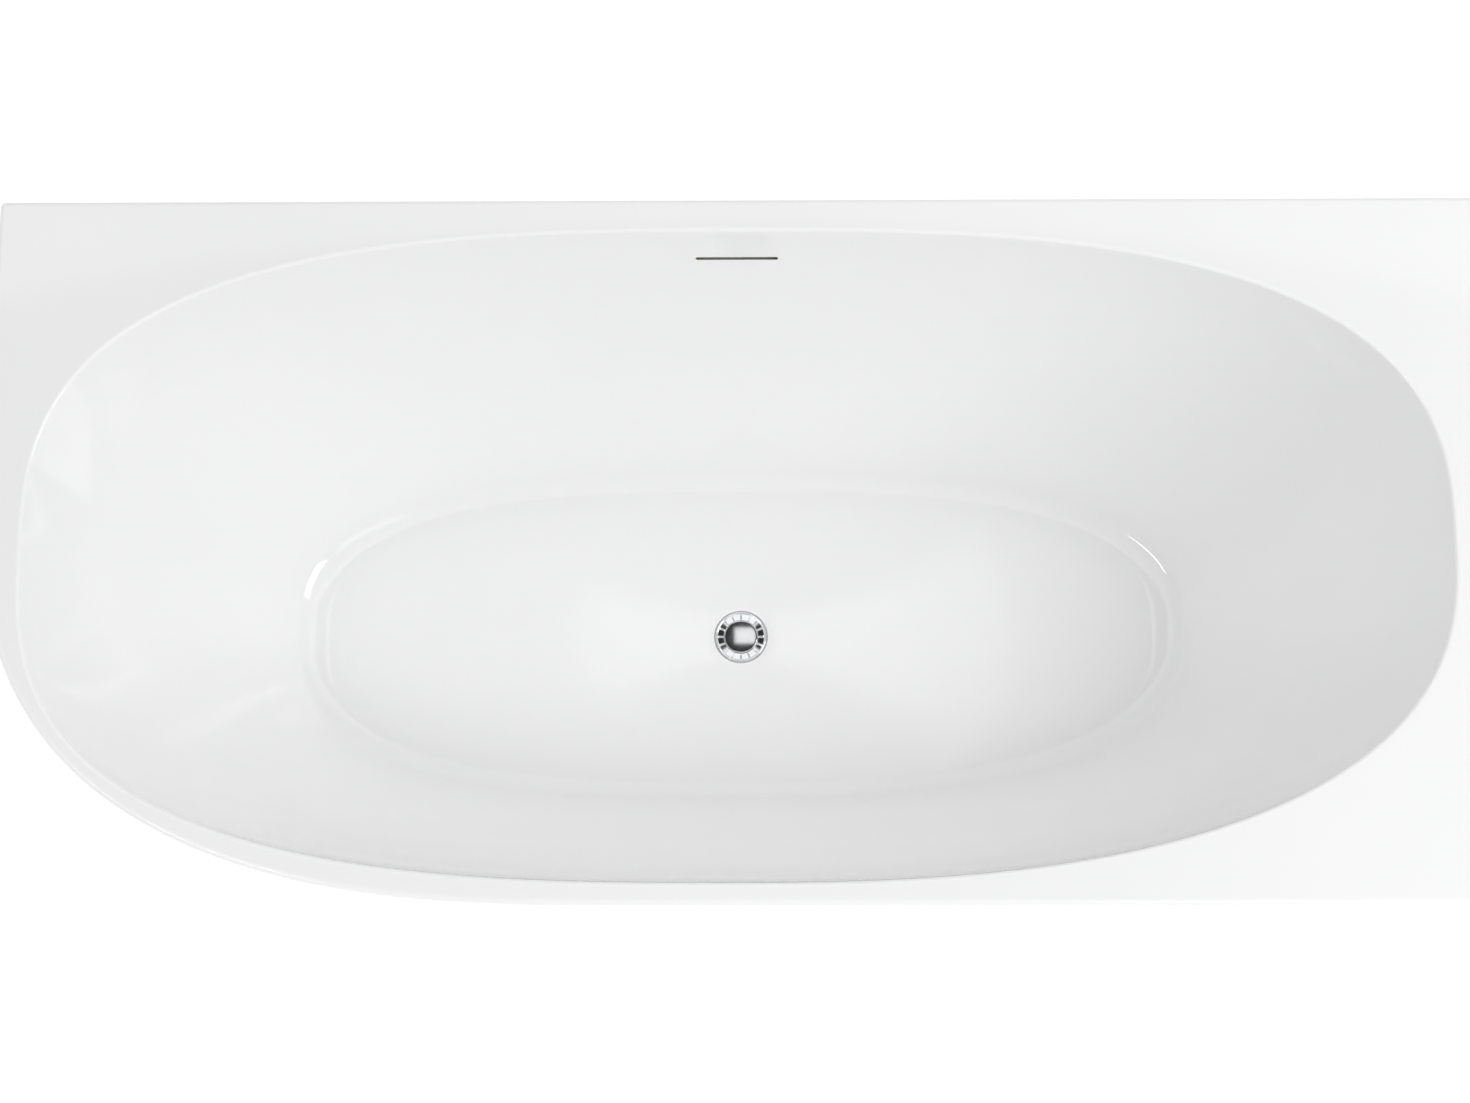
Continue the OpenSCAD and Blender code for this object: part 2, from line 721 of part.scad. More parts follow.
// Body: a flange under the shell, a cup round the tail, a side inlet and a dip pipe into the trap
module waste_body() {
  color("dimgray")
    at_drain()
      difference() {
        union() {
          rotate_extrude()
            polygon([
              [tail_radius, body_flange_top], [body_flange_radius, body_flange_top],
              [body_flange_radius, body_flange_top - body_flange_height],
              [cup_radius, body_flange_top - body_flange_height],
              [cup_radius, cup_bottom], [pipe_radius, cup_bottom - 4], [pipe_radius, dip_bottom],
              [pipe_inner, dip_bottom], [pipe_inner, cup_bottom], [tail_radius, cup_bottom + 4]
            ]);
          translate([0, tail_radius, side_inlet_z])
            rotate([-90, 0, 0]) cylinder(r = spigot_radius, h = inlet_length);
        }
        translate([0, cup_radius / 2, side_inlet_z])
          rotate([-90, 0, 0]) cylinder(r = spigot_inner, h = cup_radius + inlet_length);
        translate([0, 0, cup_bottom + 4]) cylinder(r = tail_radius, h = body_flange_top - cup_bottom);
      }
}

plug_top = flange_top - 0.4;
plug_height = 4;
plug_seal_height = 2;
plug_under = plug_top - plug_height;
cartridge_height = plug_travel + 7;
cartridge_bottom = tail_bottom + 1;
cartridge_floor = 2;
stem_bottom = cartridge_bottom + cartridge_floor + 1;
cartridge_radius = 8;
stem_radius = 3;
tail_inner_radius = plug_radius + plug_gap;
// Cap with a softly rounded edge
module plug_cap() {
  edge = 1.2;
  color("silver")
    at_drain()
      rotate_extrude()
        polygon(concat(
          [[0, plug_under], [plug_radius, plug_under]],
          [for (a = [0:30:90]) [plug_radius - edge + edge * cos(a), plug_top - edge + edge * sin(a)]],
          [[0, plug_top]]
        ));
}
module plug_seal() {
  color("black") at_drain() ring(plug_radius - 0.4, stem_radius + 6, plug_under - plug_seal_height, plug_seal_height);
}
module plug_stem() {
  color("silver")
    at_drain() {
      translate([0, 0, stem_bottom]) cylinder(r = stem_radius, h = plug_under - stem_bottom);
      translate([0, 0, plug_under - plug_seal_height]) cylinder(r = stem_radius + 6, h = plug_seal_height);
    }
}
// Push cartridge on a bridge of three arms inside the flange's tail
module plug_cartridge() {
  color("dimgray")
    at_drain()
      difference() {
        union() {
          translate([0, 0, cartridge_bottom]) cylinder(r = cartridge_radius, h = cartridge_height);
          for (i = [0:2])
            rotate([0, 0, 120 * i + 30])
              translate([cartridge_radius - 1, -1.5, cartridge_bottom])
                cube([tail_inner_radius - cartridge_radius + 0.9, 3, 5]);
        }
        translate([0, 0, cartridge_bottom + cartridge_floor])
          cylinder(r = stem_radius + fit_gap, h = cartridge_height);
      }
}

// ---- Overflow ----

gasket_thickness = 2;
box_half_height = slot_height / 2 + 14;
box_width = slot_width + 36;
box_wall = 2.5;
hose_y = post_y;
box_back = hose_y + hose_radius;
box_top = slot_z + box_half_height;
box_bottom = slot_z - box_half_height;
outlet_bottom = box_bottom - 34;
hose_bend = 60;
hose_top = box_bottom - 4;
function box_front(z) = back_wall_outer(z) + gasket_thickness;
// Edge points of the leaning front, from the top down
box_levels = [for (i = [0:4]) mix(box_top, box_bottom, i / 4)];

module overflow_gasket() {
  color("black")
    difference() {
      translate([basin_x - box_width / 2, 0, 0])
        rotate([90, 0, 90])
          linear_extrude(box_width)
            polygon(concat(
              [for (z = box_levels) [back_wall_outer(z) + tiny, z]],
              [for (i = [4:-1:0]) [box_front(box_levels[i]), box_levels[i]]]
            ));
      translate([basin_x, back_wall_inner(slot_z), slot_z]) slot_shape(slot_width + 6, slot_height + 6, 100);
    }
}
module overflow_box() {
  color("dimgray")
    difference() {
      union() {
        translate([basin_x - box_width / 2, 0, 0])
          rotate([90, 0, 90])
            linear_extrude(box_width)
              polygon(concat(
                [for (z = box_levels) [box_front(z), z]],
                [[box_back, box_bottom], [box_back, box_top]]
              ));
        translate([basin_x, hose_y, outlet_bottom]) cylinder(r = spigot_radius, h = box_bottom - outlet_bottom + 1);
      }
      translate([basin_x - box_width / 2 + box_wall, 0, 0])
        rotate([90, 0, 90])
          linear_extrude(box_width - 2 * box_wall)
            polygon([
              [box_front(slot_z) + box_wall + 3, box_top - box_wall],
              [box_front(slot_z) + box_wall + 3, box_bottom + box_wall],
              [box_back - box_wall, box_bottom + box_wall],
              [box_back - box_wall, box_top - box_wall]
            ]);
      translate([basin_x, box_front(slot_z), slot_z]) slot_shape(slot_width, slot_height, 24);
      translate([basin_x, hose_y, outlet_bottom - 1]) cylinder(r = spigot_inner, h = box_bottom - outlet_bottom + 10);
    }
}
// The hose runs down the back, bends forward and slips over the waste's side inlet.
hose_end_y = basin_y + cup_radius + 8;
module hose_tube(length) {
  difference() {
    cylinder(r = hose_radius, h = length);
    translate([0, 0, -1]) cylinder(r = spigot_radius, h = length + 2);
  }
}
module overflow_hose() {
  color("white")
    union() {
      translate([basin_x, hose_y, side_inlet_z + hose_bend]) hose_tube(hose_top - side_inlet_z - hose_bend);
      translate([basin_x, hose_y - hose_bend, side_inlet_z + hose_bend])
        rotate([0, 90, 0])
          rotate_extrude(angle = 90)
            translate([hose_bend, 0])
              difference() {
                circle(r = hose_radius);
                circle(r = spigot_radius);
              }
      translate([basin_x, hose_end_y, side_inlet_z])
        rotate([-90, 0, 0]) hose_tube(hose_y - hose_bend - hose_end_y);
    }
}
hose_nut_length = 18;
hose_nut_wall = 5;
module upper_hose_nut() {
  color("black")
    translate([basin_x, hose_y, 0])
      ring(hose_radius + hose_nut_wall, hose_radius, hose_top - hose_nut_length - 2, hose_nut_length);
}
module lower_hose_nut() {
  color("black")
    translate([basin_x, hose_end_y + 2, side_inlet_z])
      rotate([-90, 0, 0]) ring(hose_radius + hose_nut_wall, hose_radius, 0, hose_nut_length);
}

// ---- Trap ----

trap_wall = 3;
collar_wall = 4;
collar_top = trap_top + 14;
arm_z = trap_bottom + pipe_radius + 12;
socket_radius = pipe_radius + 5;
socket_end = trap_radius + 24;
arm_start = trap_radius + 6;
arm_end = half_width - 15;
spigot_length = 40;
bead_width = 4;
trap_seal_height = 4;
trap_nut_bottom = arm_z + socket_radius + 1;
trap_nut_height = collar_top + trap_seal_height - trap_nut_bottom;
cap_radius = 26;

// Bowl with a collar round the waste's pipe, a socket for the arm and an open bottom for its cap
module trap_bowl() {
  color("white")
    at_drain()
      difference() {
        union() {
          translate([0, 0, trap_bottom]) cylinder(r = trap_radius, h = trap_top - trap_bottom);
          translate([0, 0, trap_top - 1]) cylinder(r = pipe_radius + collar_wall, h = collar_top - trap_top + 1);
          translate([0, 0, arm_z]) rotate([-90, 0, 0]) cylinder(r = socket_radius, h = socket_end);
        }
        translate([0, 0, trap_bottom + trap_wall])
          cylinder(r = trap_radius - trap_wall, h = trap_top - trap_bottom - 2 * trap_wall);
        translate([0, 0, trap_top - trap_wall - 1]) cylinder(r = pipe_radius + fit_gap, h = collar_top);
        translate([0, trap_radius - trap_wall * 2, arm_z]) rotate([-90, 0, 0]) cylinder(r = pipe_inner, h = 60);
        translate([0, arm_start, arm_z]) rotate([-90, 0, 0]) cylinder(r = pipe_radius, h = 60);
        translate([0, 0, trap_bottom - 1]) cylinder(r = cap_radius - 6, h = trap_wall + 2);
      }
}
module trap_nut() {
  color("black")
    at_drain() {
      ring(pipe_radius + collar_wall + 5, pipe_radius + collar_wall, trap_nut_bottom, trap_nut_height);
      ring(pipe_radius + collar_wall + 5, pipe_radius + slip_gap, trap_nut_bottom + trap_nut_height, 3);
    }
}
module trap_seal() {
  color("dimgray")
    at_drain()
      ring(pipe_radius + collar_wall - 0.5, pipe_radius + slip_gap, collar_top, trap_seal_height);
}
// Arm with a raised bead that stops the house's drain pipe
module trap_arm() {
  arm_length = arm_end - basin_y - arm_start;
  color("white")
    translate([basin_x, basin_y, arm_z])
      rotate([-90, 0, 0])
        difference() {
          union() {
            translate([0, 0, arm_start]) cylinder(r = pipe_radius, h = arm_length);
            translate([0, 0, arm_end - basin_y - spigot_length - bead_width])
              cylinder(r = pipe_radius + 2, h = bead_width);
          }
          translate([0, 0, arm_start - 1]) cylinder(r = pipe_inner, h = arm_length + 2);
        }
}
module trap_arm_nut() {
  color("black")
    translate([basin_x, basin_y, arm_z])
      rotate([-90, 0, 0]) {
        ring(socket_radius + 4, socket_radius, socket_end - 12, 12);
        ring(socket_radius + 4, pipe_radius, socket_end, 3);
      }
}
module trap_cap() {
  color("black")
    at_drain() {
      translate([0, 0, trap_bottom - 6]) cylinder(r = cap_radius, h = 6);
      translate([0, 0, trap_bottom - 1]) cylinder(r = cap_radius - 6, h = trap_wall + 1);
    }
}

tub_shell();
skirt();
base_board();
deck_blocks();
left_rail();
inner_left_rail();
inner_right_rail();
right_rail();
left_post();
right_post();
left_wall_bracket();
right_wall_bracket();
skirt_brackets();
rail_caps();
rail_screws();
post_screws();
weld_nuts();
lock_nuts();
front_left_stud();
front_left_pad();
back_left_stud();
back_left_pad();
middle_left_stud();
middle_left_pad();
middle_right_stud();
middle_right_pad();
front_right_stud();
front_right_pad();
back_right_stud();
back_right_pad();
waste_flange();
flange_seal();
waste_body();
body_seal();
plug_cap();
plug_seal();
plug_stem();
plug_cartridge();
overflow_gasket();
overflow_box();
overflow_hose();
upper_hose_nut();
lower_hose_nut();
trap_bowl();
trap_nut();
trap_seal();
trap_arm();
trap_arm_nut();
trap_cap();
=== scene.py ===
import json
import math

import bmesh
import bpy
import numpy as np
from mathutils import Matrix, Vector


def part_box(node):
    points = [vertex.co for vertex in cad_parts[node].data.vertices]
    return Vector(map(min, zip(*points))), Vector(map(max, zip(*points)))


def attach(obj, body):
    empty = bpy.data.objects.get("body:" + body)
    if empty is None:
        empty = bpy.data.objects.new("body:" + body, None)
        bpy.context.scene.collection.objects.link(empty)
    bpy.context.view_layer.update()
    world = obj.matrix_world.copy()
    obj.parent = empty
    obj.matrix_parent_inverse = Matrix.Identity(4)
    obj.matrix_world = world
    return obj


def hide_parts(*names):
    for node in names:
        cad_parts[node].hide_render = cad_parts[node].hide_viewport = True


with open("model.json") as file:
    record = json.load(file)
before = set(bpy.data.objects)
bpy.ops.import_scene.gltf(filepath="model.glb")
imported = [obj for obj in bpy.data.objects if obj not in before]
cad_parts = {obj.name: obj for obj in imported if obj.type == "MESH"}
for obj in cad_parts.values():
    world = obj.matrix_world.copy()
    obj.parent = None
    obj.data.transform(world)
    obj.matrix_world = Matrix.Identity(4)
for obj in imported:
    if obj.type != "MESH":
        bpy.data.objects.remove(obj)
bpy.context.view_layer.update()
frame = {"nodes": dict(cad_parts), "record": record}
print("frame loaded:", len(frame["nodes"]), "nodes")

mm = 0.001


def meshFromGrid(name, grid, closedRows=False, capEnds=False):
    # grid[row][column] is a point; neighbours are joined by quads, and each row closes on itself
    rows, columns = grid.shape[0], grid.shape[1]
    faces = []
    for row in range(rows if closedRows else rows - 1):
        nextRow = (row + 1) % rows
        for column in range(columns):
            nextColumn = (column + 1) % columns
            faces.append((row * columns + column, nextRow * columns + column,
                          nextRow * columns + nextColumn, row * columns + nextColumn))
    if capEnds:
        faces.append(tuple(range(columns)))
        faces.append(tuple((rows - 1) * columns + c for c in reversed(range(columns))))
    mesh = bpy.data.meshes.new(name)
    mesh.from_pydata(grid.reshape(-1, 3).tolist(), [], faces)
    mesh.validate()
    return addObject(name, mesh)


def addObject(name, mesh):
    piece = bpy.data.objects.new(name, mesh)
    bpy.context.scene.collection.objects.link(piece)
    return piece


def tidyNormals(piece, angle=35):
    work = bmesh.new()
    work.from_mesh(piece.data)
    bmesh.ops.remove_doubles(work, verts=work.verts, dist=1e-6)
    bmesh.ops.recalc_face_normals(work, faces=work.faces)
    work.to_mesh(piece.data)
    work.free()
    piece.data.shade_smooth()
    piece.data.set_sharp_from_angle(angle=math.radians(angle))
    return piece


def revolve(name, profile, place, steps):
    # profile is a closed list of (radius, height) round an upright axis
    turn = np.linspace(0, 2 * math.pi, steps, endpoint=False)
    profile = np.array(profile, float)
    grid = np.zeros((len(profile), steps, 3))
    grid[:, :, 0] = profile[:, :1] * np.cos(turn)
    grid[:, :, 1] = profile[:, :1] * np.sin(turn)
    grid[:, :, 2] = profile[:, 1:2]
    grid += np.array(place)
    return tidyNormals(meshFromGrid(name, grid, closedRows=True))


def joinPieces(name, pieces):
    work = bmesh.new()
    for piece in pieces:
        piece.data.transform(piece.matrix_world)
        work.from_mesh(piece.data)
    mesh = bpy.data.meshes.new(name)
    work.to_mesh(mesh)
    work.free()
    for piece in pieces:
        old = piece.data
        bpy.data.objects.remove(piece)
        bpy.data.meshes.remove(old)
    return addObject(name, mesh)


def finishPiece(piece, material, body, slot, *nodes):
    if material is not None:
        piece.data.materials.clear()
        piece.data.materials.append(material)
    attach(piece, body)
    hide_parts(*nodes)


def roundedProfile(points, radii, steps):
    # rounds each corner of a closed outline with its own radius
    out = []
    count = len(points)
    for i, (point, radius) in enumerate(zip(points, radii)):
        here = Vector(point)
        toBefore = Vector(points[i - 1]) - here
        toAfter = Vector(points[(i + 1) % count]) - here
        reach = min(radius, toBefore.length * 0.49, toAfter.length * 0.49)
        if reach <= 0:
            out.append(tuple(here))
            continue
        start = here + toBefore.normalized() * reach
        end = here + toAfter.normalized() * reach
        for k in range(steps + 1):
            t = k / steps
            out.append(tuple(start * (1 - t) ** 2 + here * 2 * t * (1 - t) + end * t ** 2))
    return out


def newMaterial(name, color, roughness, metallic=0.0, coat=0.0, coatRoughness=0.05, specular=0.5):
    material = bpy.data.materials.new(name)
    material.use_nodes = True
    shader = material.node_tree.nodes["Principled BSDF"]
    shader.inputs["Base Color"].default_value = (*color, 1)
    shader.inputs["Roughness"].default_value = roughness
    shader.inputs["Metallic"].default_value = metallic
    shader.inputs["Coat Weight"].default_value = coat
    shader.inputs["Coat Roughness"].default_value = coatRoughness
    shader.inputs["Specular IOR Level"].default_value = specular
    return material, shader


def addNoise(material, scale, detail=4, roughness=0.5):
    tree = material.node_tree
    place = tree.nodes.new("ShaderNodeTexCoord")
    noise = tree.nodes.new("ShaderNodeTexNoise")
    noise.inputs["Scale"].default_value = scale
    noise.inputs["Detail"].default_value = detail
    noise.inputs["Roughness"].default_value = roughness
    tree.links.new(place.outputs["Object"], noise.inputs["Vector"])
    return noise.outputs["Fac"]


def addRamp(material, source, low, high, start=0.3, end=0.7):
    ramp = material.node_tree.nodes.new("ShaderNodeValToRGB")
    ramp.color_ramp.elements[0].position = start
    ramp.color_ramp.elements[0].color = (*low, 1)
    ramp.color_ramp.elements[1].position = end
    ramp.color_ramp.elements[1].color = (*high, 1)
    material.node_tree.links.new(source, ramp.inputs["Fac"])
    return ramp.outputs["Color"]


def addRange(material, source, low, high):
    span = material.node_tree.nodes.new("ShaderNodeMapRange")
    span.inputs["To Min"].default_value = low
    span.inputs["To Max"].default_value = high
    material.node_tree.links.new(source, span.inputs["Value"])
    return span.outputs["Result"]


def addBump(material, shader, source, strength, distance):
    bump = material.node_tree.nodes.new("ShaderNodeBump")
    bump.inputs["Strength"].default_value = strength
    bump.inputs["Distance"].default_value = distance
    material.node_tree.links.new(source, bump.inputs["Height"])
    material.node_tree.links.new(bump.outputs["Normal"], shader.inputs["Normal"])


def makeAcrylic():
    # cast white sheet: nearly even, with a faint wave in its gloss
    look = {"color": (0.93, 0.93, 0.93), "shade": (0.915, 0.917, 0.92), "gloss": (0.05, 0.1)}
    material, shader = newMaterial("glossAcrylic", look["color"], 0.1, coat=0.35, coatRoughness=0.03)
    link = material.node_tree.links.new
    wide = addNoise(material, 3.0, detail=3)
    link(addRamp(material, wide, look["shade"], look["color"]), shader.inputs["Base Color"])
    gloss = addRange(material, addNoise(material, 14.0, detail=5), *look["gloss"])
    link(gloss, shader.inputs["Roughness"])
    addBump(material, shader, addNoise(material, 60.0, detail=2), 0.03, 0.0004)
    return material


def makeLaminate():
    # glass fibre and resin sprayed on the back of the acrylic
    material, shader = newMaterial("fibreLaminate", (0.72, 0.7, 0.62), 0.55)
    link = material.node_tree.links.new
    strands = addNoise(material, 220.0, detail=8, roughness=0.7)
    link(addRamp(material, strands, (0.6, 0.58, 0.5), (0.8, 0.79, 0.72)), shader.inputs["Base Color"])
    addBump(material, shader, strands, 0.5, 0.0012)
    return material


def makeChrome():
    material, shader = newMaterial("polishedChrome", (0.86, 0.87, 0.88), 0.06, metallic=1.0)
    link = material.node_tree.links.new
    haze = addNoise(material, 180.0, detail=6)
    link(addRange(material, haze, 0.03, 0.09), shader.inputs["Roughness"])
    return material


def makeMetal(name, dark, light, roughness, scale=240.0, metallic=1.0, bump=0.08):
    material, shader = newMaterial(name, light, sum(roughness) / 2, metallic=metallic)
    link = material.node_tree.links.new
    grain = addNoise(material, scale, detail=6)
    link(addRamp(material, grain, dark, light), shader.inputs["Base Color"])
    link(addRange(material, addNoise(material, scale / 6, detail=4), *roughness), shader.inputs["Roughness"])
    addBump(material, shader, grain, bump, 0.0004)
    return material


def makePlastic(name, dark, light, roughness, grainScale=700.0, bump=0.12):
    material, shader = newMaterial(name, light, sum(roughness) / 2)
    link = material.node_tree.links.new
    link(addRamp(material, addNoise(material, 18.0, detail=4), dark, light), shader.inputs["Base Color"])
    grain = addNoise(material, grainScale, detail=3)
    link(addRange(material, grain, *roughness), shader.inputs["Roughness"])
    addBump(material, shader, grain, bump, 0.0003)
    return material


def makeChipboard():
    # pressed chips under a clear resin
    material, shader = newMaterial("resinChipboard", (0.6, 0.46, 0.28), 0.5, coat=0.2, coatRoughness=0.3)
    tree = material.node_tree
    place = tree.nodes.new("ShaderNodeTexCoord")
    chips = tree.nodes.new("ShaderNodeTexVoronoi")
    chips.inputs["Scale"].default_value = 260.0
    tree.links.new(place.outputs["Object"], chips.inputs["Vector"])
    tone = addRamp(material, chips.outputs["Color"], (0.42, 0.3, 0.17), (0.72, 0.58, 0.38), 0.1, 0.9)
    tree.links.new(tone, shader.inputs["Base Color"])
    addBump(material, shader, chips.outputs["Distance"], 0.25, 0.0006)
    return material


def makeSoftwood():
    material, shader = newMaterial("softwood", (0.7, 0.53, 0.33), 0.55)
    tree = material.node_tree
    place = tree.nodes.new("ShaderNodeTexCoord")
    mapping = tree.nodes.new("ShaderNodeMapping")
    mapping.inputs["Scale"].default_value = (1.2, 22.0, 30.0)
    rings = tree.nodes.new("ShaderNodeTexWave")
    rings.inputs["Scale"].default_value = 3.0
    rings.inputs["Distortion"].default_value = 5.0
    rings.inputs["Detail"].default_value = 4.0
    tree.links.new(place.outputs["Object"], mapping.inputs["Vector"])
    tree.links.new(mapping.outputs["Vector"], rings.inputs["Vector"])
    tone = addRamp(material, rings.outputs["Fac"], (0.5, 0.34, 0.18), (0.76, 0.6, 0.4), 0.1, 0.9)
    tree.links.new(tone, shader.inputs["Base Color"])
    addBump(material, shader, rings.outputs["Fac"], 0.15, 0.0005)
    return material


acrylic = makeAcrylic()
laminate = makeLaminate()
chrome = makeChrome()
zincSteel = makeMetal("zincPlate", (0.5, 0.52, 0.55), (0.72, 0.73, 0.74), (0.22, 0.4))
brass = makeMetal("turnedBrass", (0.62, 0.45, 0.2), (0.8, 0.62, 0.32), (0.18, 0.3))
frameSteel = makeMetal("powderCoat", (0.045, 0.048, 0.052), (0.075, 0.078, 0.082), (0.35, 0.5),
                       scale=900.0, metallic=0.0, bump=0.3)
blackPlastic = makePlastic("blackPlastic", (0.018, 0.018, 0.018), (0.03, 0.03, 0.03), (0.35, 0.5))
padPlastic = makePlastic("padPlastic", (0.012, 0.012, 0.012), (0.024, 0.024, 0.024), (0.45, 0.6))
greyPlastic = makePlastic("greyPlastic", (0.17, 0.175, 0.18), (0.23, 0.235, 0.24), (0.3, 0.45))
whitePlastic = makePlastic("whitePlastic", (0.68, 0.68, 0.66), (0.76, 0.76, 0.74), (0.25, 0.4))
hosePlastic = makePlastic("hosePlastic", (0.55, 0.56, 0.57), (0.64, 0.65, 0.66), (0.3, 0.45))
rubber = makePlastic("softRubber", (0.012, 0.012, 0.012), (0.02, 0.02, 0.02), (0.6, 0.8), bump=0.2)
chipboard = makeChipboard()
softwood = makeSoftwood()
slotLooks = {
    "acrylic": acrylic, "board_wood": chipboard, "block_wood": softwood, "frame_steel": frameSteel,
    "zinc_steel": zincSteel, "pad_plastic": padPlastic, "black_plastic": blackPlastic,
    "grey_plastic": greyPlastic, "white_plastic": whitePlastic, "hose_plastic": hosePlastic,
    "rubber": rubber, "chrome": chrome, "brass": brass,
}
for part in frame["record"]["subparts"]:
    node = frame["nodes"][part["node"]]
    node.data.materials.clear()
    node.data.materials.append(slotLooks[part["material_slot"]])
print("materials ready:", len(slotLooks))


tubLow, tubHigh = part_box("tub_shell")
tub = {
    "halfLength": (tubHigh.x - tubLow.x) / 2 - 1e-6,
    "halfWidth": (tubHigh.y - tubLow.y) / 2 - 1e-6,
    "top": tubHigh.z,
    "wall": 6 * mm,
    "leftRim": 45 * mm, "rightDeck": 81 * mm, "frontRim": 25 * mm, "backDeck": 39 * mm,
    "cornerLength": 684 * mm, "cornerWidth": 460 * mm, "cornerPower": 2.58,
    "planRadius": 7 * mm,  # plan rounding of the three square corners
    "lipHeight": 25 * mm, "lipRadius": 6 * mm, "smallEdge": 1 * mm,
    "ovalPower": 2.85, "frontRightPower": 2.5, "edgeRadius": 5 * mm,
    "depth": 435 * mm, "endRun": 246 * mm, "sideRun": 165 * mm, "belly": 0.55,
    "filletHeight": 14 * mm, "endFillet": 45 * mm, "sideFillet": 24 * mm, "floorFall": 6 * mm,
    "recessRadius": 32.5 * mm, "recessDepth": 3 * mm, "drainRadius": 24.5 * mm, "undersideStep": 12 * mm,
    "slotWidth": 94 * mm, "slotHeight": 5.5 * mm, "slotDepth": 60 * mm,
}
basinLength = tub["halfLength"] - (tub["leftRim"] + tub["rightDeck"]) / 2
basinWidth = tub["halfWidth"] - (tub["frontRim"] + tub["backDeck"]) / 2
flangeLow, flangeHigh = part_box("waste_flange")
basinCentre = Vector(((flangeLow.x + flangeHigh.x) / 2, (flangeLow.y + flangeHigh.y) / 2, 0))
floorEdge = tub["top"] - tub["depth"]
floorLow = floorEdge - tub["floorFall"]


def superPoint(halfLength, halfWidth, power, turn):
    cosine, sine = np.cos(turn), np.sin(turn)
    reach = (np.abs(cosine) ** power + np.abs(sine) ** power) ** (-1 / power)
    return np.stack([halfLength * cosine * reach, halfWidth * sine * reach], -1)


def rimOutline(step=12 * mm, cornerSteps=8, sweepSteps=170):
    # points and outward directions round the rim, from the front right corner anticlockwise
    halfX, halfY, r = tub["halfLength"], tub["halfWidth"], tub["planRadius"]
    cornerX = tub["cornerLength"] - halfX
    cornerY = tub["cornerWidth"] - halfY
    points, normals = [], []

    def line(start, end, normal):
        count = max(2, int((Vector(end) - Vector(start)).length / step))
        for k in range(count):
            points.append(Vector(start).lerp(Vector(end), k / count))
            normals.append(Vector(normal))

    def arc(centre, start):
        for k in range(cornerSteps):
            turn = start + math.pi / 2 * k / cornerSteps
            normals.append(Vector((math.cos(turn), math.sin(turn))))
            points.append(Vector(centre) + normals[-1] * r)

    line((halfX, -halfY + r), (halfX, halfY - r), (1, 0))
    arc((halfX - r, halfY - r), 0)
    line((halfX - r, halfY), (-halfX + r, halfY), (0, 1))
    arc((-halfX + r, halfY - r), math.pi / 2)
    line((-halfX, halfY - r), (-halfX, cornerY), (-1, 0))
    turn = math.pi + np.linspace(0, math.pi / 2, sweepSteps, endpoint=False)
    sweep = superPoint(tub["cornerLength"], tub["cornerWidth"], tub["cornerPower"], turn)
    ahead = superPoint(tub["cornerLength"], tub["cornerWidth"], tub["cornerPower"], turn + 1e-4)
    for here, there in zip(sweep, ahead):
        along = Vector(there) - Vector(here)
        points.append(Vector((cornerX + here[0], cornerY + here[1])))
        normals.append(Vector((along.y, -along.x)).normalized())
    line((cornerX, -halfY), (halfX - r, -halfY), (0, -1))
    arc((halfX - r, -halfY + r), -math.pi / 2)
    return np.array(points), np.array(normals)


rimPoints, rimNormals = rimOutline()
columnTurn = np.arctan2((rimPoints[:, 1] - basinCentre.y) / basinWidth,
                        (rimPoints[:, 0] - basinCentre.x) / basinLength)


def rimRing(inset, z):
    flat = rimPoints - rimNormals * inset
    return np.column_stack([flat, np.full(len(flat), z)])


inFrontRight = (np.cos(columnTurn) > 0) & (np.sin(columnTurn) < 0)
fullness = np.where(inFrontRight, tub["frontRightPower"], tub["ovalPower"])


def basinRing(halfLength, halfWidth, z, roundness=0):
    flat = superPoint(halfLength, halfWidth, fullness * (1 - roundness) + 2 * roundness, columnTurn)
    return np.column_stack([flat[:, 0] + basinCentre.x, flat[:, 1] + basinCentre.y, np.full(len(flat), z)])


wallTop = tub["top"] - tub["edgeRadius"]
wallFoot = floorEdge + tub["filletHeight"]
wallHeight = wallTop - wallFoot
meanRun = (tub["endRun"] + tub["sideRun"]) / 2


def leanShare(share):
    return (1 - tub["belly"]) * share + tub["belly"] * share * share


def leanAngle(share):
    return math.atan(((1 - tub["belly"]) + 2 * tub["belly"] * share) * meanRun / wallHeight)


def wallRing(share, skin):
    lean = leanAngle(share)
    return basinRing(basinLength - tub["endRun"] * leanShare(share) + skin * math.cos(lean),
                     basinWidth - tub["sideRun"] * leanShare(share) + skin * math.cos(lean),
                     wallTop - wallHeight * share - skin * math.sin(lean))


def bend(start, middle, end, share):
    return start * (1 - share) ** 2 + 2 * middle * share * (1 - share) + end * share ** 2


def filletRing(share, skin):
    footSlope = ((1 - tub["belly"]) + 2 * tub["belly"]) / wallHeight * tub["filletHeight"]
    lean = leanAngle(1) * (1 - share) + math.pi / 2 * share
    half = []
    for reach, run, fillet in ((basinLength, tub["endRun"], tub["endFillet"]),
                               (basinWidth, tub["sideRun"], tub["sideFillet"])):
        half.append(bend(reach - run, reach - run - footSlope * run, reach - run - fillet, share)
                    + skin * math.cos(lean))
    z = bend(wallFoot, floorEdge, floorEdge, share) - skin * math.sin(lean)
    return basinRing(half[0], half[1], z)


def mixRing(share, outer, inner, z):
    return basinRing(outer[0] * (1 - share) + inner * share, outer[1] * (1 - share) + inner * share, z, share)


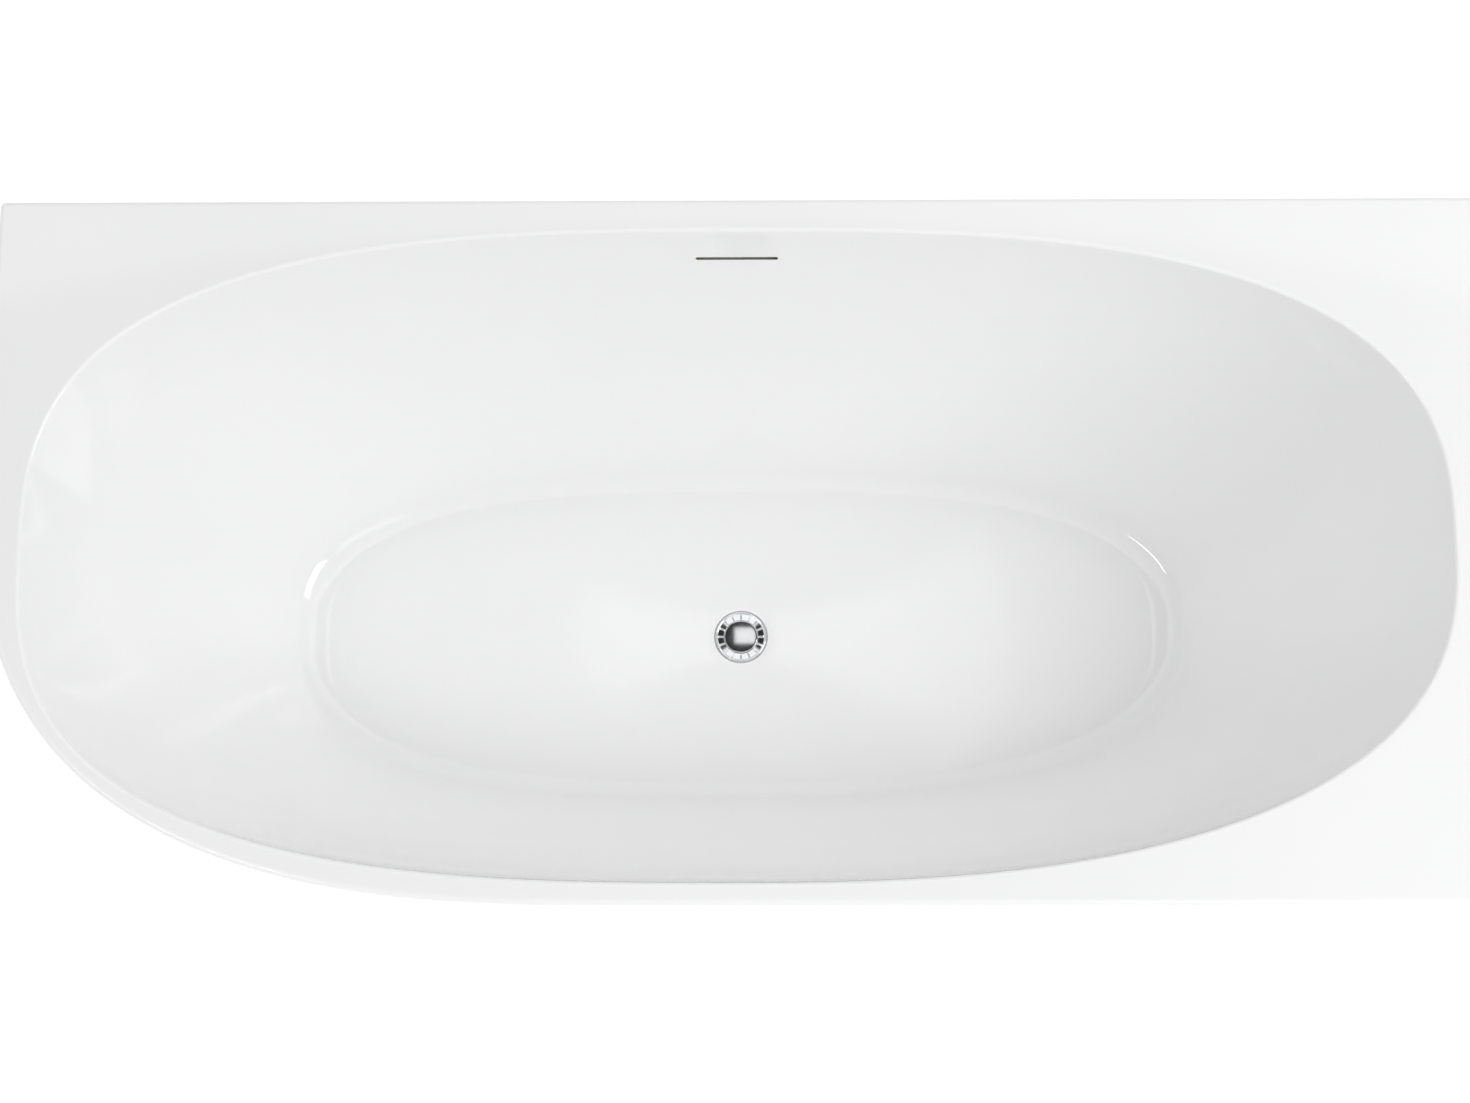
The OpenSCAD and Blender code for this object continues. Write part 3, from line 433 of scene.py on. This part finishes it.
def makeTubShell():
    wall, top = tub["wall"], tub["top"]
    deckUnder = top - wall
    underside = floorLow - wall
    flat = (basinLength - tub["endRun"] - tub["endFillet"],
            basinWidth - tub["sideRun"] - tub["sideFillet"])
    flatUnder = (flat[0] - tub["undersideStep"], flat[1] - tub["undersideStep"])
    edge, small = tub["edgeRadius"], tub["smallEdge"]
    lipBottom = top - tub["lipHeight"]
    lipRadius = tub["lipRadius"]
    rings = []
    rings += [mixRing(share, flatUnder, tub["drainRadius"], underside) for share in (1, 0.8, 0.5, 0.25, 0)]
    rings += [filletRing(share, wall) for share in np.linspace(1, 0, 8)]
    rings += [wallRing(share, wall) for share in np.linspace(1, 0, 24)[1:-1]]
    rings += [basinRing(basinLength + wall, basinWidth + wall, deckUnder)]
    backRows = len(rings)
    rings += [rimRing(wall, deckUnder)]
    rings += [rimRing(wall, z) for z in (top - 0.5 * tub["lipHeight"], lipBottom + small)]
    # rounded lower edge of the lip
    for turn in np.linspace(0, math.pi, 7):
        inset = wall / 2 + wall / 2 * math.cos(turn)
        rings.append(rimRing(inset, lipBottom + small - small * math.sin(turn)))
    rings += [rimRing(0, z) for z in np.linspace(lipBottom + 2 * small, top - lipRadius, 4)[:-1]]
    for turn in np.linspace(0, math.pi / 2, 9):
        rings.append(rimRing(lipRadius * (1 - math.cos(turn)), top - lipRadius * (1 - math.sin(turn))))
    rings.append(rimRing(lipRadius + small, top))
    rings.append(basinRing(basinLength + edge + small, basinWidth + edge + small, top))
    for turn in np.linspace(0, math.radians(80), 10):
        out = edge * (1 - math.sin(turn))
        rings.append(basinRing(basinLength + out, basinWidth + out, top - edge * (1 - math.cos(turn))))
    rings += [wallRing(share, 0) for share in np.linspace(0, 1, 46)[1:]]
    rings += [filletRing(share, 0) for share in np.linspace(0, 1, 15)[1:]]
    recess = tub["recessRadius"]
    for share in (0.02, 0.06, 0.15, 0.3, 0.5, 0.7, 0.85, 0.94, 0.98, 1):
        z = floorEdge - tub["floorFall"] * share
        rings.append(mixRing(share, flat, recess + small, z))
    for turn in np.linspace(0, math.pi / 2, 5)[1:]:
        radius = recess + small * (1 - math.sin(turn))
        rings.append(basinRing(radius, radius, floorLow - small * (1 - math.cos(turn)), 1))
    for radius in (recess, recess - 0.5 * mm, tub["drainRadius"]):
        rings.append(basinRing(radius, radius, floorLow - tub["recessDepth"], 1))
    piece = meshFromGrid("tubShell", np.array(rings), closedRows=True)
    piece.data.materials.append(acrylic)
    piece.data.materials.append(laminate)
    columns = len(columnTurn)
    behind = np.zeros(len(piece.data.polygons), np.int32)
    behind[: (backRows + 2) * columns] = 1
    piece.data.polygons.foreach_set("material_index", behind)
    cutSlot(piece)
    return tidyNormals(piece, 40)


def cutSlot(piece):
    # a slot with round ends through the back wall
    radius = tub["slotHeight"] / 2
    middle = tub["slotWidth"] / 2 - radius
    outline = []
    for side, start in ((1, -math.pi / 2), (-1, math.pi / 2)):
        for k in range(13):
            turn = start + math.pi * k / 12
            outline.append((basinCentre.x + side * middle + radius * math.cos(turn),
                            tub["top"] - tub["slotDepth"] + radius * math.sin(turn)))
    grid = np.array([[(x, y, z) for x, z in outline] for y in (basinWidth * 0.85, basinWidth * 1.05)])
    cutter = meshFromGrid("slotCutter", grid, capEnds=True)
    tidyNormals(cutter)
    cut = piece.modifiers.new("slot", "BOOLEAN")
    cut.object = cutter
    cut.operation = "DIFFERENCE"
    cut.solver = "EXACT"
    bpy.context.view_layer.objects.active = piece
    bpy.ops.object.modifier_apply(modifier=cut.name)
    bpy.data.objects.remove(cutter)


tubShell = makeTubShell()
finishPiece(tubShell, None, "tub", "acrylic", "tub_shell")
print("tub shell:", len(tubShell.data.polygons), "faces")


skirt = {
    "wall": 4 * mm, "tuck": 6.8 * mm, "lean": 92 * mm, "belly": 0.4, "gap": 8 * mm, "flange": 4.5 * mm,
    "rows": 36,
}


def skirtInset(z):
    lipBottom = tub["top"] - tub["lipHeight"]
    share = max(0.0, (lipBottom - z) / (lipBottom - skirt["gap"]))
    leaned = (1 - skirt["belly"]) * share + skirt["belly"] * share * share
    return skirt["tuck"] + skirt["lean"] * leaned


def skirtPath(inset):
    # down the left end, round the corner, along the front
    halfX, halfY = tub["halfLength"], tub["halfWidth"]
    cornerX = tub["cornerLength"] - halfX
    cornerY = tub["cornerWidth"] - halfY
    left = [(inset - halfX, y) for y in np.linspace(halfY - skirt["tuck"], cornerY, 30)[:-1]]
    turn = math.pi + np.linspace(0, math.pi / 2, 120)
    sweep = superPoint(tub["cornerLength"] - inset, tub["cornerWidth"] - inset, tub["cornerPower"], turn)
    corner = [(cornerX + x, cornerY + y) for x, y in sweep]
    front = [(x, inset - halfY) for x in np.linspace(cornerX, halfX - skirt["tuck"], 70)[1:]]
    return left + corner + front


def makeSkirt():
    top = tub["top"] - tub["wall"]
    lipBottom = tub["top"] - tub["lipHeight"]
    wall = skirt["wall"]
    levels = list(np.linspace(lipBottom, skirt["gap"], skirt["rows"]))
    section = [(skirt["tuck"], top)]
    section += [(skirtInset(z), z) for z in levels[:-1]]
    foot = skirtInset(skirt["gap"])
    section += [(foot - 0.3 * mm, skirt["gap"] + 1.5 * mm), (foot + 0.6 * mm, skirt["gap"] + 0.3 * mm),
                (foot + 2 * mm, skirt["gap"]), (foot + wall - 1.2 * mm, skirt["gap"]),
                (foot + wall, skirt["gap"] + 1.5 * mm)]
    section += [(skirtInset(z) + wall, z) for z in reversed(levels[:-1])]
    section += [(skirt["tuck"] + wall, top - wall), (skirt["tuck"] + skirt["flange"], top - wall),
                (skirt["tuck"] + skirt["flange"], top)]
    grid = np.array([[(x, y, z) for x, y in skirtPath(inset)] for inset, z in section])
    grid = grid.transpose(1, 0, 2)
    piece = meshFromGrid("skirtShell", grid, capEnds=True)
    return tidyNormals(piece, 40)


skirtShell = makeSkirt()
finishPiece(skirtShell, acrylic, "tub", "acrylic", "skirt")
print("skirt:", len(skirtShell.data.polygons), "faces")


capLow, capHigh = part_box("plug_cap")
waste = {
    "grooves": 16, "stepsPerGroove": 36, "grooveShare": 0.07, "grooveSoft": 0.05,
    "grooveDepth": 1.1 * mm, "grooveTilt": 0.038, "bead": 1.2 * mm,
    "plugRadius": (capHigh.x - capLow.x) / 2, "gap": 0.5 * mm, "tailWall": 3 * mm, "thickness": 4 * mm,
    "crown": 0.25 * mm, "capEdge": 0.6 * mm,
}
drain = Vector((basinCentre.x, basinCentre.y, 0))


def makeWasteFlange():
    outer = (flangeHigh.x - flangeLow.x) / 2
    top, bottom = flangeHigh.z, flangeLow.z
    under = top - waste["thickness"]
    bead = waste["bead"]
    bore = waste["plugRadius"] + waste["gap"]
    columns = waste["grooves"] * waste["stepsPerGroove"]
    turn = np.arange(columns) / columns * 2 * math.pi
    place = (np.arange(columns) % waste["stepsPerGroove"]) / waste["stepsPerGroove"]
    place = np.minimum(place, 1 - place)
    inGroove = np.clip((waste["grooveShare"] - place) / waste["grooveSoft"] + 0.5, 0, 1)
    inGroove = inGroove * inGroove * (3 - 2 * inGroove)
    grooveOuter, grooveInner = outer - 2 * bead - 1 * mm, bore + 1.2 * mm
    rows = [(bore + waste["tailWall"], bottom, 0), (bore + waste["tailWall"], under, 0),
            (outer - 0.3 * mm, under, 0), (outer, under + 0.3 * mm, 0)]
    for angle in np.linspace(0, math.pi, 9):
        rows.append((outer - bead + bead * math.cos(angle), top - bead + bead * math.sin(angle), 0))
    dishTop, dishLow = top - bead - 0.2 * mm, top - bead - 0.9 * mm
    for share in np.linspace(0, 1, 25):
        radius = (outer - 2 * bead - 0.2 * mm) * (1 - share) + (bore + 0.4 * mm) * share
        depth = np.clip(min(grooveOuter - radius, radius - grooveInner) / (0.5 * mm) + 0.5, 0, 1)
        height = dishTop * (1 - share) + dishLow * share
        # a groove's floor is almost level
        floor = dishLow - waste["grooveDepth"] + (radius - bore) * waste["grooveTilt"]
        rows.append((radius, height, (height - floor) * depth))
    rows += [(bore + 0.1 * mm, dishLow - 0.15 * mm, 0), (bore, dishLow - 0.5 * mm, 0), (bore, bottom, 0)]
    grid = np.zeros((len(rows), columns, 3))
    for i, (radius, z, depth) in enumerate(rows):
        grid[i, :, 0] = drain.x + radius * np.cos(turn)
        grid[i, :, 1] = drain.y + radius * np.sin(turn)
        grid[i, :, 2] = z - depth * inGroove
    return tidyNormals(meshFromGrid("wasteRing", grid, closedRows=True), 50)


def makePlugCap():
    radius, edge, top = waste["plugRadius"], waste["capEdge"], capHigh.z
    profile = [(0.02 * mm, capLow.z), (radius * 0.6, capLow.z), (radius - 0.3 * mm, capLow.z),
               (radius, capLow.z + 0.3 * mm)]
    for angle in np.linspace(0, math.pi / 2, 8):
        profile.append((radius - edge + edge * math.cos(angle),
                        top - edge - waste["crown"] + edge * math.sin(angle)))
    for share in np.linspace(0, 1, 14)[1:]:
        here = (radius - edge) * (1 - share) + 0.02 * mm * share
        profile.append((here, top - waste["crown"] * (here / (radius - edge)) ** 2))
    return revolve("plugDisc", profile, (drain.x, drain.y, 0), 160)


wasteRing = makeWasteFlange()
finishPiece(wasteRing, chrome, "tub", "chrome", "waste_flange")
plugDisc = makePlugCap()
finishPiece(plugDisc, chrome, "plug", "chrome", "plug_cap")
print("waste ring and plug made")


foot = {
    "names": ("front_left", "back_left", "middle_left", "middle_right", "front_right", "back_right"),
    "studRadius": 6 * mm, "pitch": 1.75 * mm, "threadDepth": 0.95 * mm, "turnSteps": 24, "rowsPerTurn": 6,
    "collarHeight": 5 * mm, "padRibs": 12, "padGroove": 1.1 * mm, "padSteps": 8,
    "nutChamfer": 1.3 * mm, "nutSteps": 48, "nutRadius": 10.5 * mm, "nutHole": 6.05 * mm,
}


def threadRadius(radius, height, turn):
    # depth of a 60 degree thread at a height and a turn round the axis
    wave = np.mod(height / foot["pitch"] - turn / (2 * math.pi), 1)
    return radius - foot["threadDepth"] * np.clip(1.25 - np.abs(wave * 2 - 1) * 1.5, 0, 1)


def makeStud(name):
    low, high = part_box(name + "_stud")
    centre = (low + high) / 2
    radius = foot["studRadius"]
    collarRadius = (high.x - low.x) / 2
    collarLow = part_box(name + "_pad")[1].z
    turn = np.linspace(0, 2 * math.pi, foot["turnSteps"], endpoint=False)
    heights = np.linspace(low.z, high.z, int((high.z - low.z) / foot["pitch"] * foot["rowsPerTurn"]))
    grid = np.zeros((len(heights) + 2, len(turn), 3))
    for row, height in enumerate(heights):
        reach = threadRadius(radius, height, turn)
        if height < collarLow + foot["collarHeight"]:
            reach = np.full(len(turn), radius)
        reach = np.minimum(reach, radius - max(0.0, height - high.z + 1 * mm))
        grid[row + 1, :, 0] = reach * np.cos(turn)
        grid[row + 1, :, 1] = reach * np.sin(turn)
        grid[row + 1, :, 2] = height
    grid[0] = grid[1] * (0.02, 0.02, 1)
    grid[-1] = grid[-2] * (0.02, 0.02, 1)
    grid += (centre.x, centre.y, 0)
    shank = tidyNormals(meshFromGrid(name + "Shank", grid, capEnds=True), 50)
    collar = hexRing(name + "Collar", centre, collarRadius, radius * 0.9, collarLow,
                     collarLow + foot["collarHeight"])
    return joinPieces(name + "Stud", [shank, collar])


def hexRing(name, centre, cornerRadius, hole, low, high):
    # a hexagon with turned chamfers on its corners, and a hole
    turn = np.linspace(0, 2 * math.pi, foot["nutSteps"], endpoint=False)
    flat = cornerRadius * math.cos(math.pi / 6)
    side = flat / np.cos(np.mod(turn, math.pi / 3) - math.pi / 6)
    chamfered = np.minimum(side, flat * 1.02)
    chamfer = foot["nutChamfer"]
    bore = np.full(len(turn), hole)
    bevel = 0.6 * mm
    rows = [(bore, low + bevel), (bore + bevel, low), (chamfered, low), (side, low + chamfer * 0.6),
            (side, high - chamfer * 0.6), (chamfered, high), (bore + bevel, high), (bore, high - bevel)]
    grid = np.array([np.column_stack([r * np.cos(turn), r * np.sin(turn), 0 * r + z]) for r, z in rows])
    grid += (centre.x, centre.y, 0)
    return tidyNormals(meshFromGrid(name, grid, closedRows=True), 25)


def makePad(name):
    low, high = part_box(name + "_pad")
    centre = (low + high) / 2
    radius = (high.x - low.x) / 2
    outline = roundedProfile(
        [(0.2 * mm, 0), (radius - 2 * mm, 0), (radius, 2 * mm), (radius, 5 * mm), (12 * mm, high.z - 3 * mm),
         (12 * mm, high.z), (6.05 * mm, high.z), (6.05 * mm, 6 * mm), (0.2 * mm, 6 * mm)],
        [0, 1 * mm, 1.5 * mm, 1.2 * mm, 2 * mm, 1 * mm, 0.6 * mm, 0, 0], 4)
    columns = foot["padRibs"] * foot["padSteps"]
    turn = np.arange(columns) / columns * 2 * math.pi
    valley = np.clip(np.abs(np.mod(np.arange(columns) / foot["padSteps"], 1) - 0.5) * -5 + 2, 0, 1)
    grid = np.zeros((len(outline), columns, 3))
    for row, (reach, height) in enumerate(outline):
        slope = np.clip((reach - 13 * mm) / (3 * mm), 0, 1)
        slope *= np.clip((radius - 1.5 * mm - reach) / (3 * mm), 0, 1)
        drop = foot["padGroove"] * valley * slope * (1 if height > 4 * mm else 0)
        grid[row] = np.column_stack([reach * np.cos(turn), reach * np.sin(turn), height - drop])
    grid += (centre.x, centre.y, 0)
    return tidyNormals(meshFromGrid(name + "Pad", grid, closedRows=True), 40)


def makeNuts(name, node):
    low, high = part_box(node)
    nuts = []
    for place in foot["names"]:
        padLow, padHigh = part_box(place + "_pad")
        centre = (padLow + padHigh) / 2
        nuts.append(hexRing(name + place, centre, foot["nutRadius"], foot["nutHole"], low.z, high.z))
    return joinPieces(name, nuts)


for footName in foot["names"]:
    footBody = "foot_" + footName
    finishPiece(makeStud(footName), zincSteel, footBody, "zinc_steel", footName + "_stud")
    finishPiece(makePad(footName), padPlastic, footBody, "pad_plastic", footName + "_pad")
finishPiece(makeNuts("weldNuts", "weld_nuts"), zincSteel, "tub", "zinc_steel", "weld_nuts")
finishPiece(makeNuts("lockNuts", "lock_nuts"), zincSteel, "tub", "zinc_steel", "lock_nuts")
print("feet made")


hose = {
    "pitch": 4.4 * mm, "ribDepth": 1.5 * mm, "wall": 2.3 * mm, "bend": 60 * mm, "cuff": 24 * mm,
    "steps": 40, "rowSpacing": 0.55 * mm,
}
gripRing = {
    "rim": 1.6 * mm, "depth": 1.2 * mm, "hoseRibs": 24, "trapRibs": 28, "hoseHole": 14.05 * mm,
    "trapHole": 24.05 * mm, "trapFarHole": 20.4 * mm, "armHole": 25.05 * mm, "armFarHole": 20.05 * mm,
}


def makeHose():
    low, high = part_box("overflow_hose")
    radius = (high.x - low.x) / 2
    x, y = (low.x + high.x) / 2, high.y - radius
    axisZ = low.z + radius
    reach = hose["bend"]
    down = high.z - axisZ - reach
    arc = reach * math.pi / 2
    total = down + arc + (y - reach - low.y)
    columns = np.linspace(0, 2 * math.pi, hose["steps"], endpoint=False)

    def ring(distance, size):
        if distance < down:
            at, outward = (y, high.z - distance), (1, 0)
        elif distance < down + arc:
            turn = (distance - down) / reach
            outward = (math.cos(turn), -math.sin(turn))
            at = (y - reach + reach * outward[0], axisZ + reach + reach * outward[1])
        else:
            at, outward = (y - reach - (distance - down - arc), axisZ), (0, -1)
        return np.column_stack([x + size * np.cos(columns), at[0] + size * np.sin(columns) * outward[0],
                                at[1] + size * np.sin(columns) * outward[1]])

    def size(distance):
        edge = min(distance, total - distance)
        wave = 0.5 - 0.5 * math.cos(2 * math.pi * distance / hose["pitch"])
        ribbed = min(1, max(0, (edge - hose["cuff"]) / (3 * mm)))
        return radius - hose["ribDepth"] * wave ** 0.7 * ribbed

    stations = np.linspace(0, total, int(total / hose["rowSpacing"]))
    rows = [ring(d, size(d)) for d in stations]
    rows += [ring(d, radius - hose["wall"]) for d in np.linspace(total, 0, 60)]
    return tidyNormals(meshFromGrid("overflowHose", np.array(rows), closedRows=True), 60)


def ribbedRing(name, node, hole, ribs, axis="z", innerLip=None):
    # a grip ring with rounded ribs; innerLip is the smaller hole of its far end
    depth, rim = gripRing["depth"], gripRing["rim"]
    low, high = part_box(node)
    centre = (low + high) / 2
    radius = (high.x - low.x) / 2
    start, end = (low.z, high.z) if axis == "z" else (low.y, high.y)
    columns = ribs * 8
    turn = np.arange(columns) / columns * 2 * math.pi
    grip = 0.5 - 0.5 * np.cos(turn * ribs)
    grip = np.clip(grip * 1.6 - 0.3, 0, 1)
    rows = [(hole, start + 0.4 * mm, 0), (hole + 0.4 * mm, start, 0), (radius - rim, start, 0),
            (radius - depth, start + 0.6 * mm, 0), (radius - depth, start + rim, 0),
            (radius, start + rim + 0.9 * mm, 1), (radius, (start + end) / 2, 1),
            (radius, end - rim - 0.9 * mm, 1), (radius - depth, end - rim, 0),
            (radius - depth, end - 0.6 * mm, 0), (radius - rim, end, 0)]
    far = innerLip or hole
    rows += [(far + 0.4 * mm, end, 0), (far, end - 0.4 * mm, 0)]
    if innerLip:
        rows += [(far, end - 3 * mm, 0), (hole, end - 3 * mm, 0)]
    grid = np.zeros((len(rows), columns, 3))
    for row, (reach, height, ribbed) in enumerate(rows):
        here = reach - depth * ribbed * (1 - grip)
        across, away = here * np.cos(turn), here * np.sin(turn)
        if axis == "z":
            grid[row] = np.column_stack([centre.x + across, centre.y + away, np.full(columns, height)])
        else:
            grid[row] = np.column_stack([centre.x + across, np.full(columns, height), centre.z + away])
    return tidyNormals(meshFromGrid(name, grid, closedRows=True), 40)


finishPiece(makeHose(), hosePlastic, "tub", "hose_plastic", "overflow_hose")
upperNut = ribbedRing("upperHoseNut", "upper_hose_nut", gripRing["hoseHole"], gripRing["hoseRibs"])
lowerNut = ribbedRing("lowerHoseNut", "lower_hose_nut", gripRing["hoseHole"], gripRing["hoseRibs"], axis="y")
trapNut = ribbedRing("trapNut", "trap_nut", gripRing["trapHole"], gripRing["trapRibs"],
                     innerLip=gripRing["trapFarHole"])
armNut = ribbedRing("trapArmNut", "trap_arm_nut", gripRing["armHole"], gripRing["trapRibs"], axis="y",
                    innerLip=gripRing["armFarHole"])
for nut, body, nutNode in ((upperNut, "tub", "upper_hose_nut"), (lowerNut, "tub", "lower_hose_nut"),
                           (trapNut, "trap", "trap_nut"), (armNut, "trap", "trap_arm_nut")):
    finishPiece(nut, blackPlastic, body, "black_plastic", nutNode)
print("hose and nuts made")


def makeStage():
    work = bmesh.new()
    bmesh.ops.create_grid(work, x_segments=2, y_segments=2, size=studio["floorSize"])
    mesh = bpy.data.meshes.new("studioFloor")
    work.to_mesh(mesh)
    work.free()
    floor = addObject("studioFloor", mesh)
    material, shader = newMaterial("paleFloor", (0.9, 0.9, 0.9), 0.9, specular=0.1)
    shader.inputs["Emission Color"].default_value = (1, 1, 1, 1)
    shader.inputs["Emission Strength"].default_value = studio["floorGlow"]
    floor.data.materials.append(material)


def addArea(name, place, target, width, depth, watts):
    light = bpy.data.lights.new(name, "AREA")
    light.shape = "RECTANGLE"
    light.size = width
    light.size_y = depth
    light.energy = watts
    lamp = bpy.data.objects.new(name, light)
    bpy.context.scene.collection.objects.link(lamp)
    lamp.location = place
    lamp.rotation_euler = (Vector(target) - Vector(place)).to_track_quat("-Z", "Y").to_euler()


def worldMath(operation, first, second=None):
    tree = bpy.context.scene.world.node_tree
    node = tree.nodes.new("ShaderNodeMath")
    node.operation = operation
    for socket, value in zip(node.inputs, (first, second)):
        if isinstance(value, (int, float)):
            socket.default_value = value
        elif value is not None:
            tree.links.new(value, socket)
    return node.outputs[0]


def worldDot(source, axis):
    tree = bpy.context.scene.world.node_tree
    node = tree.nodes.new("ShaderNodeVectorMath")
    node.operation = "DOT_PRODUCT"
    node.inputs[1].default_value = axis
    tree.links.new(source, node.inputs[0])
    return node.outputs["Value"]


def makeWorld():
    # a pale dome, brightest overhead, with one dim oval above the tub that the polished waste mirrors,
    # a brighter band round the oval, and a bright window pane inside it
    world = bpy.data.worlds.new("studioWorld")
    bpy.context.scene.world = world
    world.use_nodes = True
    tree = world.node_tree
    sky = tree.nodes.new("ShaderNodeTexCoord").outputs["Generated"]
    middle = studio["ovalDirection"].normalized()
    side = Vector((1, 0, 0))
    along = middle.cross(side).normalized()
    ahead = worldDot(sky, middle)
    isAhead = worldMath("GREATER_THAN", ahead, 0.0)
    across = worldMath("DIVIDE", worldDot(sky, side - middle * side.dot(middle)), ahead)
    away = worldMath("DIVIDE", worldDot(sky, along), ahead)
    squares, panes = [], []
    for offset, ovalSize, paneAt, paneSize in zip((across, away), studio["ovalSize"], studio["paneAt"],
                                                  studio["paneSize"]):
        scaled = worldMath("ABSOLUTE", worldMath("DIVIDE", offset, ovalSize))
        squares.append(worldMath("POWER", scaled, 2))
        fromPane = worldMath("ABSOLUTE", worldMath("SUBTRACT", offset, paneAt))
        panes.append(worldMath("LESS_THAN", fromPane, paneSize))
    reach = worldMath("ADD", *squares)
    inside = worldMath("MULTIPLY", worldMath("LESS_THAN", reach, 1.0), isAhead)
    halo = worldMath("MULTIPLY", worldMath("LESS_THAN", reach, studio["haloReach"]), isAhead)
    pane = worldMath("MULTIPLY", worldMath("MULTIPLY", *panes), inside)
    dim = worldMath("MULTIPLY", worldMath("SUBTRACT", inside, pane), studio["ovalDimming"])
    glow = worldMath("ADD", worldMath("MULTIPLY", halo, studio["haloGain"]),
                     worldMath("MULTIPLY", pane, studio["paneGain"]))
    height = worldMath("MAXIMUM", worldDot(sky, Vector((0, 0, 1))), 0.0)
    rise = worldMath("MULTIPLY", worldMath("POWER", height, studio["domePower"]), studio["domeRise"])
    dome = worldMath("ADD", studio["domeLow"], rise)
    bright = worldMath("MULTIPLY", dome, worldMath("ADD", glow, 1.0))
    strength = worldMath("MULTIPLY", bright, worldMath("SUBTRACT", 1.0, dim))
    tree.links.new(strength, tree.nodes["Background"].inputs["Strength"])
    tree.nodes["Background"].inputs["Color"].default_value = (1, 1, 1, 1)


def makeCamera():
    camera = bpy.data.cameras.new("studioCamera")
    camera.type = "PERSP"
    camera.sensor_width = 36
    camera.lens = view["lens"]
    camera.clip_end = 50
    holder = bpy.data.objects.new("studioCamera", camera)
    bpy.context.scene.collection.objects.link(holder)
    tilt, turn, roll = (math.radians(view[key]) for key in ("elevation", "turn", "roll"))
    back = Vector((math.sin(turn), -math.cos(turn) * math.cos(tilt), math.cos(turn) * math.sin(tilt)))
    right = (Vector((1, 0, 0)) - back * back.x).normalized()
    up = back.cross(right)
    across = right * math.cos(roll) - up * math.sin(roll)
    upward = up * math.cos(roll) + right * math.sin(roll)
    pose = Matrix((across, upward, back)).transposed().to_4x4()
    pose.translation = Vector(view["target"]) + back * view["distance"]
    holder.matrix_world = pose
    bpy.context.scene.camera = holder


view = {
    "elevation": 75.98, "turn": 0.88, "roll": 0.11, "distance": 3.8, "lens": 84.8,
    "target": (-0.0185, -0.0096, 0.58),
}
studio = {
    "floorSize": 9.0, "floorGlow": 0.5, "domeLow": 0.62, "domeRise": 0.085, "domePower": 1.5,
    "ovalDirection": Vector((-0.0137, 0.2184, 0.9758)), "ovalSize": (0.37, 0.12), "ovalDimming": 0.97,
    "haloReach": 3.2, "haloGain": 0.5, "paneAt": (0.016, 0.004), "paneSize": (0.038, 0.029), "paneGain": -0.1,
    "lamps": (  # name, place, target, width, depth, watts
        ("keyWindow", (2.7, -0.6, 2.5), (0, 0, 0.3), 1.7, 1.7, 38),
        ("highWindow", (1.2, -2.2, 3.4), (0, 0, 0.4), 1.5, 1.5, 7),
        ("sideStrip", (-1.7, -1.2, 2.9), (0.2, 0, 0.2), 1.6, 0.18, 12.5),
    ),
}
makeStage()
makeWorld()
for lamp in studio["lamps"]:
    addArea(*lamp)
makeCamera()
bpy.context.scene.view_settings.view_transform = "Standard"
print("studio ready")
